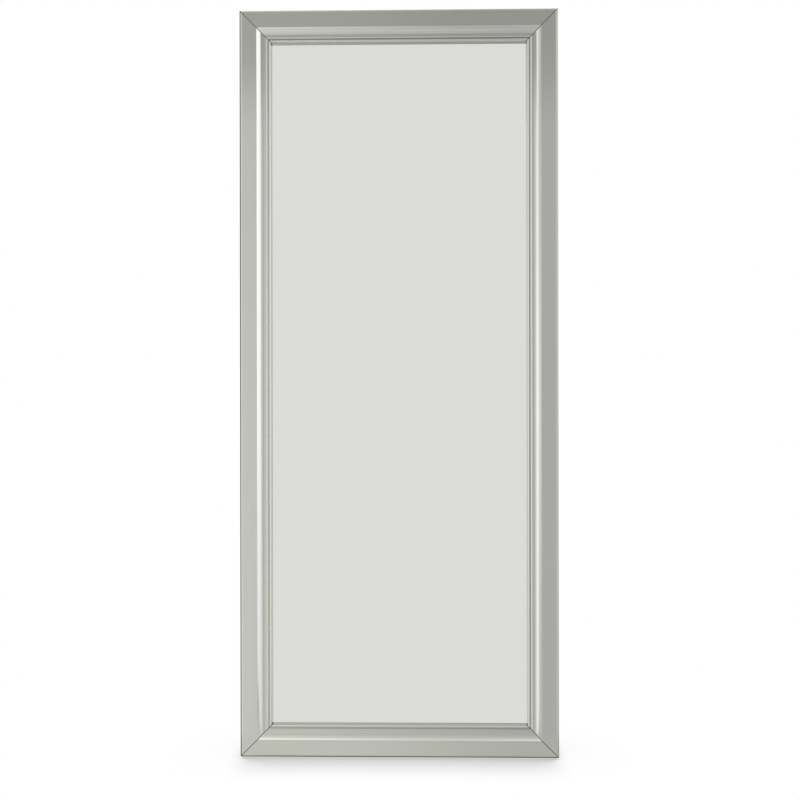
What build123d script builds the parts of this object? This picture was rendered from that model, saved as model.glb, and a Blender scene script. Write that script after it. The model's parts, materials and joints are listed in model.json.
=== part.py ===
from build123d import *
import os
from math import cos, radians, sin, sqrt

# Standing mirror with shelves, in millimetres.
# A full-length mirror in a mitred moulding is the door of a shallow cabinet. The cabinet stands on the floor
# behind it, holds five shelves and is narrower than the frame, which hides it and gives the finger grip.
# X runs to the viewer's right, Y from the mirror's face back to the wall, Z up.
# The origin is on the floor, in the middle of the width and of the depth.

# Frame, seen from the front
FRAME_WIDTH = 762.0
FRAME_HEIGHT = 1788.0
FLOOR_CLEARANCE = 5.0
OVERHANG = 15.0
MITRE_GAP = 0.5

# Moulding section: widths run inward from the outer face, levels run forward from the back
BAND_LEVEL = 35.0
BAND_WIDTH = 40.5
OUTER_ROUND = 3.0
SHOULDER_WIDTH = 4.0
SHOULDER_DROP = 0.5
ARRIS_RADIUS = 1.0
COVE_RADIUS = 22.0
COVE_START_ANGLE = 52.0
COVE_FLAT = 4.5
REED_WIDTH = 3.5
REED_RISE = 0.7
QUIRK_DEPTH = 2.0
QUIRK_WIDTH = 3.2
BEAD_RADIUS = 2.6
BEAD_LIFT = 1.5

# Mirror and what holds it in the frame
GLASS_THICKNESS = 3.0
GLASS_REBATE = 9.5
GLASS_CLEARANCE = 1.5
GLASS_ARRIS = 0.5
FOAM_THICKNESS = 1.0
FOAM_WIDTH = 7.0
BACKER_THICKNESS = 4.0
BACKER_REBATE = 20.0
BACKER_CLEARANCE = 1.0
BACKER_RECESS = 3.0
BACKER_SCREW_COLUMN = 8
BACKER_SCREW_ROW = 3
SETTING_BLOCK_LENGTH = 60.0
SETTING_BLOCK_INSET = 120.0

# Mitre joints
TENON_WIDTH = 26.0
TENON_DEPTH = 12.0
TENON_THICKNESS = 5.0
TENON_LEVEL = 16.0
TENON_INSET = 27.0
TENON_CLEARANCE = 0.1
PLATE_LEG = 62.0
PLATE_WIDTH = 15.0
PLATE_THICKNESS = 1.5
PLATE_INSET = 44.0
PLATE_HOLE_NEAR = 22.0
PLATE_HOLE_FAR = 52.0

# Cabinet
CARCASS_DEPTH = 165.0
BOARD = 18.0
PLINTH_HEIGHT = 60.0
PLINTH_SETBACK = 6.0
RAIL_HEIGHT = 80.0
BACK_THICKNESS = 4.0
BACK_RECESS = 3.0
BACK_REBATE = 10.0
BACK_CLEARANCE = 1.0
BACK_LIFT = 10.0
BACK_SCREW_ROW = 3

# Shelves and their pins
SHELF_COUNT = 5
SHELF_SETBACK = 12.0
SHELF_SIDE_GAP = 1.0
SHELF_BACK_GAP = 2.0
EDGE_ROUND = 1.5
PIN_RADIUS = 2.5
PIN_DEPTH = 9.0
PIN_INSET = 30.0
PIN_CLEARANCE = 0.05
SPOON_LENGTH = 9.0
SPOON_WIDTH = 9.0
SPOON_THICKNESS = 2.0
PIN_NECK = 1.0
HOLE_PITCH = 32.0
SPARE_HOLES = 1

# Knock-down fittings
CAM_RADIUS = 7.5
CAM_DEPTH = 12.5
CAM_SETBACK = 34.0
CAM_INSET = 38.0
CAM_SLOT = 7.0
CAM_CLEARANCE = 0.1
CAM_BOLT_RADIUS = 2.8
CAM_BOLT_HEAD = 3.2
CAM_BOLT_NECK = 1.8
CAM_BOLT_GRIP = 11.0
CAM_BOLT_HEAD_LENGTH = 2.5
CAM_BOLT_GAP = 1.0
CAM_CROSS = 4.5
DOWEL_RADIUS = 4.0
DOWEL_IN_SIDE = 12.0
DOWEL_IN_END = 18.0
DOWEL_CLEARANCE = 0.05
DOWEL_WALL = 3.0

# Continuous hinge on the left
HINGE_END_MARGIN = 60.0
HINGE_LEAF = 1.2
HINGE_LEAF_REACH = 16.0
HINGE_PIN_RADIUS = 1.5
HINGE_RUNNING = 0.05
HINGE_SIDE_GAP = 0.25
HINGE_FACE_GAP = 0.15
KNUCKLE_PITCH = 30.0
KNUCKLE_GAP = 0.4
PIN_HEAD_HEIGHT = 1.2
PIN_HEAD_EXTRA = 0.9
HINGE_SCREW_COUNT = 14
HINGE_SCREW_INSET = 30.0

# Magnetic catches and bumpers on the right
CATCH_WIDTH = 14.0
CATCH_DEPTH = 16.0
CATCH_HEIGHT = 28.0
CATCH_EAR_HEIGHT = 50.0
CATCH_EAR_DEPTH = 12.0
CATCH_EAR_THICKNESS = 3.0
CATCH_FROM_EDGE = 1.0
CATCH_WALL = 3.0
CATCH_CHAMFER = 0.8
MAGNET_WIDTH = 5.0
MAGNET_HEIGHT = 21.0
MAGNET_DEPTH = 10.0
POLE_THICKNESS = 1.3
CATCH_FIT = 0.1
STRIKE_THICKNESS = 1.2
STRIKE_WIDTH = 12.0
STRIKE_HEIGHT = 40.0
STRIKE_SCREW_OFFSET = 15.0
STRIKE_CORNER = 2.0
BUMPER_RADIUS = 5.0
BUMPER_COUNT = 4
BUMPER_GAP = 0.2
BUMPER_END_INSET = 70.0

# Glides under the sides
GLIDE_HEIGHT = 4.0
GLIDE_RADIUS = 8.0
GLIDE_EASE = 1.0
GLIDE_INSET = 10.0
NAIL_RADIUS = 1.25
NAIL_LENGTH = 16.0
NAIL_HEAD_RADIUS = 3.0
NAIL_HEAD_HEIGHT = 1.0
NAIL_RECESS = 1.6

# Wall fixing holes through the upper rail, at the spacing of wall studs
WALL_HOLE_RADIUS = 3.0
WALL_HOLE_SPACING = 406.4

# Screws
SCREW_CLEARANCE = 0.1
SMALL_SHANK = 1.5
SMALL_HEAD = 2.6
SMALL_LENGTH = 14.0
PAN_SHANK = 1.6
PAN_HEAD = 3.2
PAN_HEAD_HEIGHT = 1.6
PAN_HEAD_ROUND = 0.7
PAN_LENGTH = 12.0
TIP_LENGTH = 3.0
TIP_RADIUS = 0.25
RECESS_WIDTH = 0.8
RECESS_DEPTH = 0.8
RECESS_RIM = 0.9
HOLE_EXTRA = 0.5

# How far a cutting shape runs past the face that it opens
CUT = 1.0

UP = (0, 0, 1)
DOWN = (0, 0, -1)
LEFT = (-1, 0, 0)
RIGHT = (1, 0, 0)
FORWARD = (0, -1, 0)
BACKWARD = (0, 1, 0)

# Section of the moulding, worked out from its outer face to the sight edge
cove_angle = radians(COVE_START_ANGLE)
cove_u = BAND_WIDTH + COVE_RADIUS * sin(cove_angle)
cove_v = BAND_LEVEL + COVE_RADIUS * cos(cove_angle)
cove_floor = cove_v - COVE_RADIUS
reed_start = cove_u + COVE_FLAT
reed_end = reed_start + REED_WIDTH
bead_start = reed_end + QUIRK_WIDTH
quirk_level = cove_floor - QUIRK_DEPTH
bead_level = quirk_level + BEAD_LIFT
moulding_width = bead_start + 2 * BEAD_RADIUS
door_thickness = BAND_LEVEL
backer_face = BACKER_RECESS + BACKER_THICKNESS
glass_back = backer_face + FOAM_THICKNESS
glass_face = glass_back + GLASS_THICKNESS

# Places across the depth
knuckle_radius = HINGE_PIN_RADIUS + HINGE_RUNNING + HINGE_LEAF
door_gap = 2 * (knuckle_radius + HINGE_FACE_GAP)
depth = door_thickness + door_gap + CARCASS_DEPTH
y_face = -depth / 2
y_door_back = y_face + door_thickness
y_carcass = y_door_back + door_gap
y_back = y_carcass + CARCASS_DEPTH
y_panel_rear = y_back - BACK_RECESS
y_panel_front = y_panel_rear - BACK_THICKNESS

# Places across the width and the height
x_frame = FRAME_WIDTH / 2
x_sight = x_frame - moulding_width
z_frame_low = FLOOR_CLEARANCE
z_frame_high = FLOOR_CLEARANCE + FRAME_HEIGHT
x_out = x_frame - OVERHANG
x_in = x_out - BOARD
x_board = (x_in + x_out) / 2
z_low = GLIDE_HEIGHT
z_high = z_frame_high - OVERHANG
z_floor_board = z_low + PLINTH_HEIGHT
z_inside_low = z_floor_board + BOARD
z_inside_high = z_high - BOARD
bay_height = (z_inside_high - z_inside_low - SHELF_COUNT * BOARD) / (SHELF_COUNT + 1)
shelf_front = y_carcass + SHELF_SETBACK
shelf_back = y_panel_front - SHELF_BACK_GAP
fixed_shelf = SHELF_COUNT // 2

# Nails of the glides, and the dowels that clear them
nail_seat = NAIL_RECESS - NAIL_HEAD_HEIGHT
nail_tip = nail_seat + NAIL_LENGTH
dowel_rail_inset = nail_tip + DOWEL_WALL + DOWEL_RADIUS - z_low

# Hinge line
x_hinge = -(x_out + knuckle_radius + HINGE_SIDE_GAP)
y_hinge = y_door_back + door_gap / 2
z_hinge_low = z_frame_low + HINGE_END_MARGIN
z_hinge_high = z_frame_high - HINGE_END_MARGIN


def block(low, high):
    """Box between two opposite corners."""
    size = [b - a for a, b in zip(low, high)]
    middle = [(a + b) / 2 for a, b in zip(low, high)]
    return Pos(*middle) * Box(*size)


def facing(point, direction):
    """Plane at point whose Z runs along direction."""
    return Plane(origin=point, z_dir=direction)


def rod(point, direction, radius, length):
    """Cylinder from point along direction."""
    return facing(point, direction) * Cylinder(radius, length, align=(Align.CENTER, Align.CENTER, Align.MIN))


def spread(low, high, count):
    """Evenly spaced places from low to high, both ends included."""
    if count < 2:
        return [(low + high) / 2]
    return [low + (high - low) * i / (count - 1) for i in range(count)]


def opposite(direction):
    """The same direction, reversed."""
    return tuple(-d for d in direction)


def cross_recess(head_radius):
    """Cross-shaped driver recess, sunk below the plane Z = 0."""
    reach = 2 * (head_radius - RECESS_RIM)
    bar = Box(reach, RECESS_WIDTH, RECESS_DEPTH, align=(Align.CENTER, Align.CENTER, Align.MAX))
    return bar + Rot(0, 0, 90) * bar


def shank(radius, length):
    """Screw shank that hangs down from Z = 0 to a point."""
    straight = Cylinder(radius, length - TIP_LENGTH, align=(Align.CENTER, Align.CENTER, Align.MAX))
    point = Cone(TIP_RADIUS, radius, TIP_LENGTH, align=(Align.CENTER, Align.CENTER, Align.MAX))
    return straight + Pos(0, 0, TIP_LENGTH - length) * point


def countersunk_screw(head_radius, shank_radius, length):
    """Wood screw with its flat head's top at Z = 0, shank down."""
    height = head_radius - shank_radius
    head = Cone(shank_radius, head_radius, height, align=(Align.CENTER, Align.CENTER, Align.MAX))
    return head + shank(shank_radius, length) - cross_recess(head_radius)


def pan_screw():
    """Wood screw with a round head that sits on Z = 0, shank down."""
    head = Cylinder(PAN_HEAD, PAN_HEAD_HEIGHT, align=(Align.CENTER, Align.CENTER, Align.MIN))
    head = fillet(head.faces().sort_by(Axis.Z)[-1].edges(), PAN_HEAD_ROUND)
    recess = Pos(0, 0, PAN_HEAD_HEIGHT) * cross_recess(PAN_HEAD)
    return head + shank(PAN_SHANK, PAN_LENGTH) - recess


def placed(shape, points, into):
    """Copies of a screw, one at each point, with its shank running along into."""
    return [facing(point, opposite(into)) * shape for point in points]


def screw_holes(points, into, radius, length):
    """Holes for the shanks of the screws at the points."""
    return [rod(point, into, radius + SCREW_CLEARANCE, length + SCREW_CLEARANCE) for point in points]


def countersinks(points, into, head_radius, shank_radius):
    """Conical seats for flat heads whose tops are at the points."""
    height = head_radius - shank_radius
    low = shank_radius + SCREW_CLEARANCE
    seat = Cone(low, low + height, height, align=(Align.CENTER, Align.CENTER, Align.MAX))
    return [facing(point, opposite(into)) * seat for point in points]


def moulding_section():
    """Section of the moulding: Y is the width from the outer face, Z the level from the back."""
    round_level = BAND_LEVEL - SHOULDER_DROP - OUTER_ROUND
    diagonal = OUTER_ROUND * (1 - 1 / sqrt(2))
    outer = ThreePointArc(
        (0, round_level),
        (diagonal, round_level + OUTER_ROUND - diagonal),
        (OUTER_ROUND, round_level + OUTER_ROUND),
    )
    band = Polyline(outer @ 1, (OUTER_ROUND + SHOULDER_WIDTH, BAND_LEVEL), (BAND_WIDTH, BAND_LEVEL))
    half_angle = cove_angle / 2
    cove = ThreePointArc(
        band @ 1,
        (cove_u - COVE_RADIUS * sin(half_angle), cove_v - COVE_RADIUS * cos(half_angle)),
        (cove_u, cove_floor),
    )
    flat = Line(cove @ 1, (reed_start, cove_floor))
    reed = ThreePointArc(
        flat @ 1,
        ((reed_start + reed_end) / 2, cove_floor + REED_RISE),
        (reed_end, cove_floor),
    )
    quirk = Polyline(reed @ 1, (reed_end, quirk_level), (bead_start, quirk_level), (bead_start, bead_level))
    bead = ThreePointArc(
        quirk @ 1,
        (bead_start + BEAD_RADIUS, bead_level + BEAD_RADIUS),
        (moulding_width, bead_level),
    )
    rear = Polyline(
        bead @ 1,
        (moulding_width, glass_face),
        (moulding_width - GLASS_REBATE, glass_face),
        (moulding_width - GLASS_REBATE, backer_face),
        (moulding_width - BACKER_REBATE, backer_face),
        (moulding_width - BACKER_REBATE, 0),
        (0, 0),
        outer @ 0,
    )
    section = make_face([outer, band, cove, flat, reed, quirk, bead, rear])
    arris = section.vertices().sort_by_distance((BAND_WIDTH, BAND_LEVEL, 0))[0]
    return Plane.YZ * fillet(arris, ARRIS_RADIUS)


def moulding(length):
    """Mitred length of moulding: X along it, Y inward from the outer face, Z forward from the back."""
    bar = extrude(moulding_section(), amount=length, dir=RIGHT)
    reach = moulding_width + CUT
    half_gap = MITRE_GAP / sqrt(2)
    corner = [
        (half_gap - CUT, -CUT),
        (half_gap + reach, reach),
        (half_gap - CUT - reach, reach),
        (half_gap - CUT - reach, -CUT),
    ]
    wedge = extrude(make_face(Polyline(*corner, close=True)), amount=door_thickness + CUT, both=True)
    return bar - wedge - Pos(length, 0, 0) * mirror(wedge, Plane.YZ)


def frame_member(corner, along, length):
    """Moulding placed on the door, from an outer corner along one side."""
    return Plane(origin=corner, x_dir=along, z_dir=FORWARD) * moulding(length)


def frame_corners():
    """Outer corners on the door's back face, each with the directions inward along X and Z."""
    return [
        ((side * x_frame, y_door_back, z), -side, inward)
        for side in (-1, 1)
        for z, inward in ((z_frame_low, 1), (z_frame_high, -1))
    ]


def mitre_tenons(clearance):
    """Loose tenons across the four mitres, or their mortises where clearance is above 0."""
    tenons = []
    for (x, _, z), inward_x, inward_z in frame_corners():
        size = (
            TENON_WIDTH + 2 * clearance,
            TENON_THICKNESS + 2 * clearance,
            2 * (TENON_DEPTH + clearance),
        )
        angle = -45 * inward_x * inward_z
        middle = (x + inward_x * TENON_INSET, y_door_back - TENON_LEVEL, z + inward_z * TENON_INSET)
        tenons.append(Pos(*middle) * Rot(0, angle, 0) * Box(*size))
    return tenons


def corner_plate_holes(corner):
    """Screw places of the steel plate at one corner, on the plate's outer face."""
    (x, y, z), inward_x, inward_z = corner
    x += inward_x * PLATE_INSET
    z += inward_z * PLATE_INSET
    y += PLATE_THICKNESS
    reaches = (PLATE_HOLE_NEAR, PLATE_HOLE_FAR)
    along_rail = [(x + inward_x * reach, y, z) for reach in reaches]
    along_stile = [(x, y, z + inward_z * reach) for reach in reaches]
    return along_rail + along_stile


def corner_plate(corner):
    """L-shaped steel plate screwed over one mitre at the back."""
    (x, y, z), inward_x, inward_z = corner
    x += inward_x * PLATE_INSET
    z += inward_z * PLATE_INSET
    half = PLATE_WIDTH / 2
    legs = []
    for reach_x, reach_z in ((PLATE_LEG, half), (half, PLATE_LEG)):
        xs = sorted((x - inward_x * half, x + inward_x * reach_x))
        zs = sorted((z - inward_z * half, z + inward_z * reach_z))
        legs.append(block((xs[0], y, zs[0]), (xs[1], y + PLATE_THICKNESS, zs[1])))
    holes = corner_plate_holes(corner)
    cuts = screw_holes(holes, FORWARD, SMALL_SHANK, PLATE_THICKNESS)
    cuts += countersinks(holes, FORWARD, SMALL_HEAD, SMALL_SHANK)
    return legs[0] + legs[1] - cuts


def backer_screw_points():
    """Places of the screws that hold the backing board, on its rear face."""
    inset = moulding_width - (BACKER_REBATE + GLASS_REBATE) / 2
    x = x_frame - inset
    low = z_frame_low + inset
    high = z_frame_high - inset
    y = y_door_back - BACKER_RECESS
    columns = [(side * x, y, z) for side in (-1, 1) for z in spread(low, high, BACKER_SCREW_COLUMN + 2)[1:-1]]
    rows = [(x_row, y, z) for z in (low, high) for x_row in spread(-x, x, BACKER_SCREW_ROW + 2)[1:-1]]
    return columns + rows


def opening_block(inset, v_back, v_front):
    """Block inside the frame, inset from its outer faces, between two levels of the moulding."""
    low = (inset - x_frame, y_door_back - v_front, z_frame_low + inset)
    high = (x_frame - inset, y_door_back - v_back, z_frame_high - inset)
    return block(low, high)


def mirror_glass():
    """Mirror plate with eased edges."""
    inset = moulding_width - GLASS_REBATE + GLASS_CLEARANCE
    plate = opening_block(inset, glass_back, glass_face)
    return chamfer(plate.edges(), min(GLASS_ARRIS, 0.3 * GLASS_THICKNESS))


def foam_strips():
    """Foam tape between the glass and the backing board, in four lengths."""
    inset = moulding_width - GLASS_REBATE + GLASS_CLEARANCE
    outline = opening_block(inset, backer_face, glass_back)
    ring = outline - opening_block(inset + FOAM_WIDTH, backer_face, glass_back)
    x_cut = x_frame - inset - FOAM_WIDTH
    upright = block((-x_cut, y_door_back - door_thickness, 0), (x_cut, y_door_back, z_frame_high))
    return (ring - upright).solids() + (ring & upright).solids()


def setting_blocks():
    """Rubber blocks that carry the glass's lower edge in the rebate."""
    low = z_frame_low + moulding_width - GLASS_REBATE
    start = x_frame - moulding_width - SETTING_BLOCK_INSET
    blocks = []
    for side in (-1, 1):
        xs = sorted((side * start, side * (start - SETTING_BLOCK_LENGTH)))
        low_corner = (xs[0], y_door_back - glass_face, low)
        high_corner = (xs[1], y_door_back - glass_back, low + GLASS_CLEARANCE)
        blocks.append(block(low_corner, high_corner))
    return blocks


def door_backer():
    """Backing board behind the glass."""
    inset = moulding_width - BACKER_REBATE + BACKER_CLEARANCE
    board = opening_block(inset, BACKER_RECESS, backer_face)
    return board - screw_holes(backer_screw_points(), FORWARD, PAN_SHANK, PAN_LENGTH)


def hinge_screw_points(y):
    """Screw places along the hinge, in a vertical plane."""
    low = z_hinge_low + HINGE_SCREW_INSET
    high = z_hinge_high - HINGE_SCREW_INSET
    return [(-x_board, y, z) for z in spread(low, high, HINGE_SCREW_COUNT)]


def knuckles():
    """Low and high end of each hinge knuckle, from the bottom up. Their count is odd."""
    length = z_hinge_high - z_hinge_low
    count = 2 * int(length / KNUCKLE_PITCH / 2) + 1
    pitch = length / count
    return [(z_hinge_low + i * pitch, z_hinge_low + (i + 1) * pitch) for i in range(count)]


def hinge_leaf(on_door):
    """One leaf of the continuous hinge: every second knuckle is its own, and it clears the others."""
    toward_axis = 1 if on_door else -1
    y_board = y_door_back if on_door else y_carcass
    y_inner = y_board + toward_axis * HINGE_LEAF
    ys = sorted((y_board, y_inner))
    x_edge = -x_out + HINGE_LEAF_REACH
    x_notch = x_hinge + knuckle_radius + KNUCKLE_GAP
    plate = block((x_notch, ys[0], z_hinge_low), (x_edge, ys[1], z_hinge_high))
    barrels = []
    bore = rod((x_hinge, y_hinge, z_hinge_low - CUT), UP, HINGE_PIN_RADIUS + HINGE_RUNNING, FRAME_HEIGHT)
    own = 1 if on_door else 0
    for i, (low, high) in enumerate(knuckles()):
        if i % 2 != own:
            continue
        low += KNUCKLE_GAP / 2
        high -= KNUCKLE_GAP / 2
        barrel = rod((x_hinge, y_hinge, low), UP, knuckle_radius, high - low)
        web = block((x_hinge, ys[0], low), (x_notch, ys[1], high))
        barrels.append(barrel + web - bore)
    screws = hinge_screw_points(y_inner)
    into = FORWARD if on_door else BACKWARD
    cuts = screw_holes(screws, into, SMALL_SHANK, HINGE_LEAF)
    cuts += countersinks(screws, into, SMALL_HEAD, SMALL_SHANK)
    return plate + barrels - cuts


def hinge_pin():
    """Hinge pin with a head at each end."""
    low = z_hinge_low - PIN_HEAD_HEIGHT
    length = z_hinge_high - z_hinge_low + 2 * PIN_HEAD_HEIGHT
    pin = rod((x_hinge, y_hinge, low), UP, HINGE_PIN_RADIUS, length)
    heads = [
        rod((x_hinge, y_hinge, z), UP, HINGE_PIN_RADIUS + PIN_HEAD_EXTRA, PIN_HEAD_HEIGHT)
        for z in (low, z_hinge_high)
    ]
    return pin + heads


def shelf_low(index):
    """Underside of a shelf, counted from the bottom."""
    return z_inside_low + (index + 1) * bay_height + index * BOARD


def loose_shelves():
    """Numbers of the shelves that rest on pins."""
    return [i for i in range(SHELF_COUNT) if i != fixed_shelf]


def pin_depths():
    """Places of the shelf pins across the depth."""
    return (shelf_front + PIN_INSET, shelf_back - PIN_INSET)


def pin_holes(side):
    """Rows of shelf pin holes in one side: one in use at each loose shelf, with spares above and below."""
    holes = []
    for index in loose_shelves():
        for step in range(-SPARE_HOLES, SPARE_HOLES + 1):
            z = shelf_low(index) - PIN_RADIUS + step * HOLE_PITCH
            for y in pin_depths():
                holes.append(rod((side * x_in, y, z), (side, 0, 0), PIN_RADIUS, PIN_DEPTH + PIN_CLEARANCE))
    return holes


def shelf_pins():
    """Four steel pins with flat spoons under each loose shelf."""
    pins = []
    for index in loose_shelves():
        top = shelf_low(index)
        for side in (-1, 1):
            for y in pin_depths():
                radius = PIN_RADIUS - PIN_CLEARANCE
                start = (side * (x_in - PIN_NECK), y, top - PIN_RADIUS)
                stub = rod(start, (side, 0, 0), radius, PIN_DEPTH + PIN_NECK)
                xs = sorted((side * x_in, side * (x_in - SPOON_LENGTH)))
                spoon = block(
                    (xs[0], y - SPOON_WIDTH / 2, top - SPOON_THICKNESS),
                    (xs[1], y + SPOON_WIDTH / 2, top),
                )
                pins.append(stub + spoon)
    return pins


def shelf(index):
    """Loose shelf with an eased front edge."""
    x = x_in - SHELF_SIDE_GAP
    low = shelf_low(index)
    board = block((-x, shelf_front, low), (x, shelf_back, low + BOARD))
    front = board.faces().sort_by(Axis.Y)[0]
    return fillet(front.edges().filter_by(Axis.X), EDGE_ROUND)


def joined_boards():
    """Boards held between the sides by cams: name, underside, front and back."""
    return {
        "top_panel": (z_inside_high, y_carcass, y_panel_front),
        "bottom_panel": (z_floor_board, y_carcass, y_panel_front),
        "fixed_shelf": (shelf_low(fixed_shelf), shelf_front, y_panel_front),
    }


def cam_points():
    """Cam centres on the undersides of the boards, with the side that each pulls against."""
    return [
        ((side * (x_in - CAM_SETBACK), y, low), side)
        for low, front, back in joined_boards().values()
        for side in (-1, 1)
        for y in (front + CAM_INSET, back - CAM_INSET)
    ]


def cam(point, side):
    """Cam lock set into the underside of a board, with a slot for its bolt and a cross for the driver."""
    x, y, low = point
    body = rod(point, UP, CAM_RADIUS - CAM_CLEARANCE, CAM_DEPTH - CAM_CLEARANCE)
    half = CAM_SLOT / 2
    xs = sorted((x - side * half, x + side * (CAM_RADIUS + CUT)))
    middle = low + BOARD / 2
    slot = block((xs[0], y - half, middle - half), (xs[1], y + half, middle + half))
    recess = facing(point, DOWN) * Rot(0, 0, 45) * cross_recess(CAM_CROSS)
    return body - slot - recess


def cam_bolt(point, side):
    """Bolt screwed into the side panel, whose head the cam holds."""
    x, y, low = point
    middle = low + BOARD / 2
    into = (side, 0, 0)
    head = rod((x - side * CAM_CLEARANCE, y, middle), into, CAM_BOLT_HEAD, CAM_BOLT_HEAD_LENGTH)
    neck = rod((x, y, middle), into, CAM_BOLT_NECK, CAM_SETBACK)
    stem_start = CAM_RADIUS + CAM_BOLT_GAP
    stem = rod((x + side * stem_start, y, middle), into, CAM_BOLT_HEAD, CAM_SETBACK - stem_start)
    thread = rod((side * x_in, y, middle), into, CAM_BOLT_RADIUS, CAM_BOLT_GRIP)
    return head + neck + stem + thread


def cam_cuts():
    """Bores for the cams and their bolts, in the boards and in the sides."""
    cuts = []
    for (x, y, low), side in cam_points():
        middle = low + BOARD / 2
        into = (side, 0, 0)
        cuts.append(rod((x, y, low), UP, CAM_RADIUS, CAM_DEPTH))
        cuts.append(rod((x, y, middle), into, CAM_BOLT_HEAD + CAM_CLEARANCE, CAM_SETBACK))
        cuts.append(
            rod((side * x_in, y, middle), into, CAM_BOLT_RADIUS + CAM_CLEARANCE, CAM_BOLT_GRIP + HOLE_EXTRA)
        )
    return cuts


def rails():
    """Rails dowelled between the sides: name, underside, top, front and back."""
    y_rear_rail = y_panel_front - BOARD
    y_kick = y_carcass + PLINTH_SETBACK
    return {
        "plinth_front": (z_low, z_floor_board, y_kick, y_kick + BOARD),
        "plinth_back": (z_low, z_floor_board, y_rear_rail, y_panel_front),
        "wall_rail": (z_inside_high - RAIL_HEIGHT, z_inside_high, y_rear_rail, y_panel_front),
    }


def dowel_points():
    """Dowel axes where they cross the inner face of a side."""
    points = []
    for side in (-1, 1):
        for low, front, back in joined_boards().values():
            points.append((side * x_in, (front + back) / 2, low + BOARD / 2))
        for low, high, front, back in rails().values():
            for z in (low + dowel_rail_inset, high - dowel_rail_inset):
                points.append((side * x_in, (front + back) / 2, z))
    return points


def dowels(clearance):
    """Wooden dowels, or their bores where clearance is above 0."""
    made = []
    for x, y, z in dowel_points():
        side = 1 if x > 0 else -1
        start = (x - side * (DOWEL_IN_END + clearance), y, z)
        length = DOWEL_IN_END + DOWEL_IN_SIDE + 2 * clearance
        made.append(rod(start, (side, 0, 0), DOWEL_RADIUS + clearance, length))
    return made


def wall_holes():
    """Holes for the wall screws, through the upper rail and the back panel."""
    z = z_inside_high - RAIL_HEIGHT / 2
    y = y_panel_front - BOARD - CUT
    length = BOARD + BACK_THICKNESS + 2 * CUT
    return [rod((side * WALL_HOLE_SPACING / 2, y, z), BACKWARD, WALL_HOLE_RADIUS, length) for side in (-1, 1)]


def bay_middles():
    """Heights of the middles of the bays, from the bottom up."""
    pitch = bay_height + BOARD
    return [z_inside_low + bay_height / 2 + i * pitch for i in range(SHELF_COUNT + 1)]


def back_screw_points():
    """Places of the back panel's screws, on its rear face: midway between dowels and boards at the sides."""
    x = x_in + BACK_REBATE / 2
    rail_middles = [(low + high) / 2 for low, high, front, back in rails().values() if back == y_panel_front]
    columns = [(side * x, y_panel_rear, z) for side in (-1, 1) for z in rail_middles + bay_middles()]
    rows = [
        (x_row, y_panel_rear, low + BOARD / 2)
        for low, _, _ in joined_boards().values()
        for x_row in spread(-x_in, x_in, BACK_SCREW_ROW + 2)[1:-1]
    ]
    return columns + rows


def back_panel():
    """Thin back panel, set into the sides and screwed to the boards."""
    x = x_in + BACK_REBATE - BACK_CLEARANCE
    low = (-x, y_panel_front, z_low + BACK_LIFT)
    high = (x, y_panel_rear, z_high)
    panel = block(low, high)
    holes = screw_holes(back_screw_points(), FORWARD, PAN_SHANK, PAN_LENGTH)
    return panel - holes - wall_holes()


def catch_heights():
    """Heights of the two catches: in the middle of the second bay from each end."""
    middles = bay_middles()
    return (middles[1], middles[-2])


def catch_housing(z):
    """Plastic housing of a magnetic catch, with two screw ears and a pocket open to the front."""
    front = y_carcass + CATCH_FROM_EDGE
    half = CATCH_HEIGHT / 2
    body = block((x_in - CATCH_WIDTH, front, z - half), (x_in, front + CATCH_DEPTH, z + half))
    ear_y = front + (CATCH_DEPTH - CATCH_EAR_DEPTH) / 2
    ears = block(
        (x_in - CATCH_EAR_THICKNESS, ear_y, z - CATCH_EAR_HEIGHT / 2),
        (x_in, ear_y + CATCH_EAR_DEPTH, z + CATCH_EAR_HEIGHT / 2),
    )
    body = chamfer(body.edges().filter_by(Axis.Y), CATCH_CHAMFER)
    half_width = MAGNET_WIDTH / 2 + POLE_THICKNESS + 2 * CATCH_FIT
    x = x_in - CATCH_WIDTH / 2
    half_height = MAGNET_HEIGHT / 2 + CATCH_FIT
    pocket = block(
        (x - half_width, front - CUT, z - half_height),
        (x + half_width, front + CATCH_DEPTH - CATCH_WALL, z + half_height),
    )
    return body + ears - pocket - screw_holes(catch_screw_points(z), RIGHT, PAN_SHANK, PAN_LENGTH)


def catch_screw_points(z):
    """Screw places on the ears of a catch."""
    y = y_carcass + CATCH_FROM_EDGE + CATCH_DEPTH / 2
    offset = (CATCH_HEIGHT + CATCH_EAR_HEIGHT) / 4
    return [(x_in - CATCH_EAR_THICKNESS, y, z + sign * offset) for sign in (-1, 1)]


def catch_magnet(z):
    """Magnet at the bottom of a catch's pocket."""
    x = x_in - CATCH_WIDTH / 2
    rear = y_carcass + CATCH_FROM_EDGE + CATCH_DEPTH - CATCH_WALL
    half = MAGNET_WIDTH / 2
    return block(
        (x - half, rear - MAGNET_DEPTH, z - MAGNET_HEIGHT / 2),
        (x + half, rear, z + MAGNET_HEIGHT / 2),
    )


def catch_poles(z):
    """Two steel pole plates beside the magnet, which reach forward to the strike plate."""
    rear = y_carcass + CATCH_FROM_EDGE + CATCH_DEPTH - CATCH_WALL
    tip = y_door_back + STRIKE_THICKNESS + CATCH_FIT
    half = MAGNET_WIDTH / 2 + CATCH_FIT
    plates = []
    for side in (-1, 1):
        x = x_in - CATCH_WIDTH / 2
        xs = sorted((x + side * half, x + side * (half + POLE_THICKNESS)))
        plates.append(block((xs[0], tip, z - MAGNET_HEIGHT / 2), (xs[1], rear, z + MAGNET_HEIGHT / 2)))
    return plates


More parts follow.
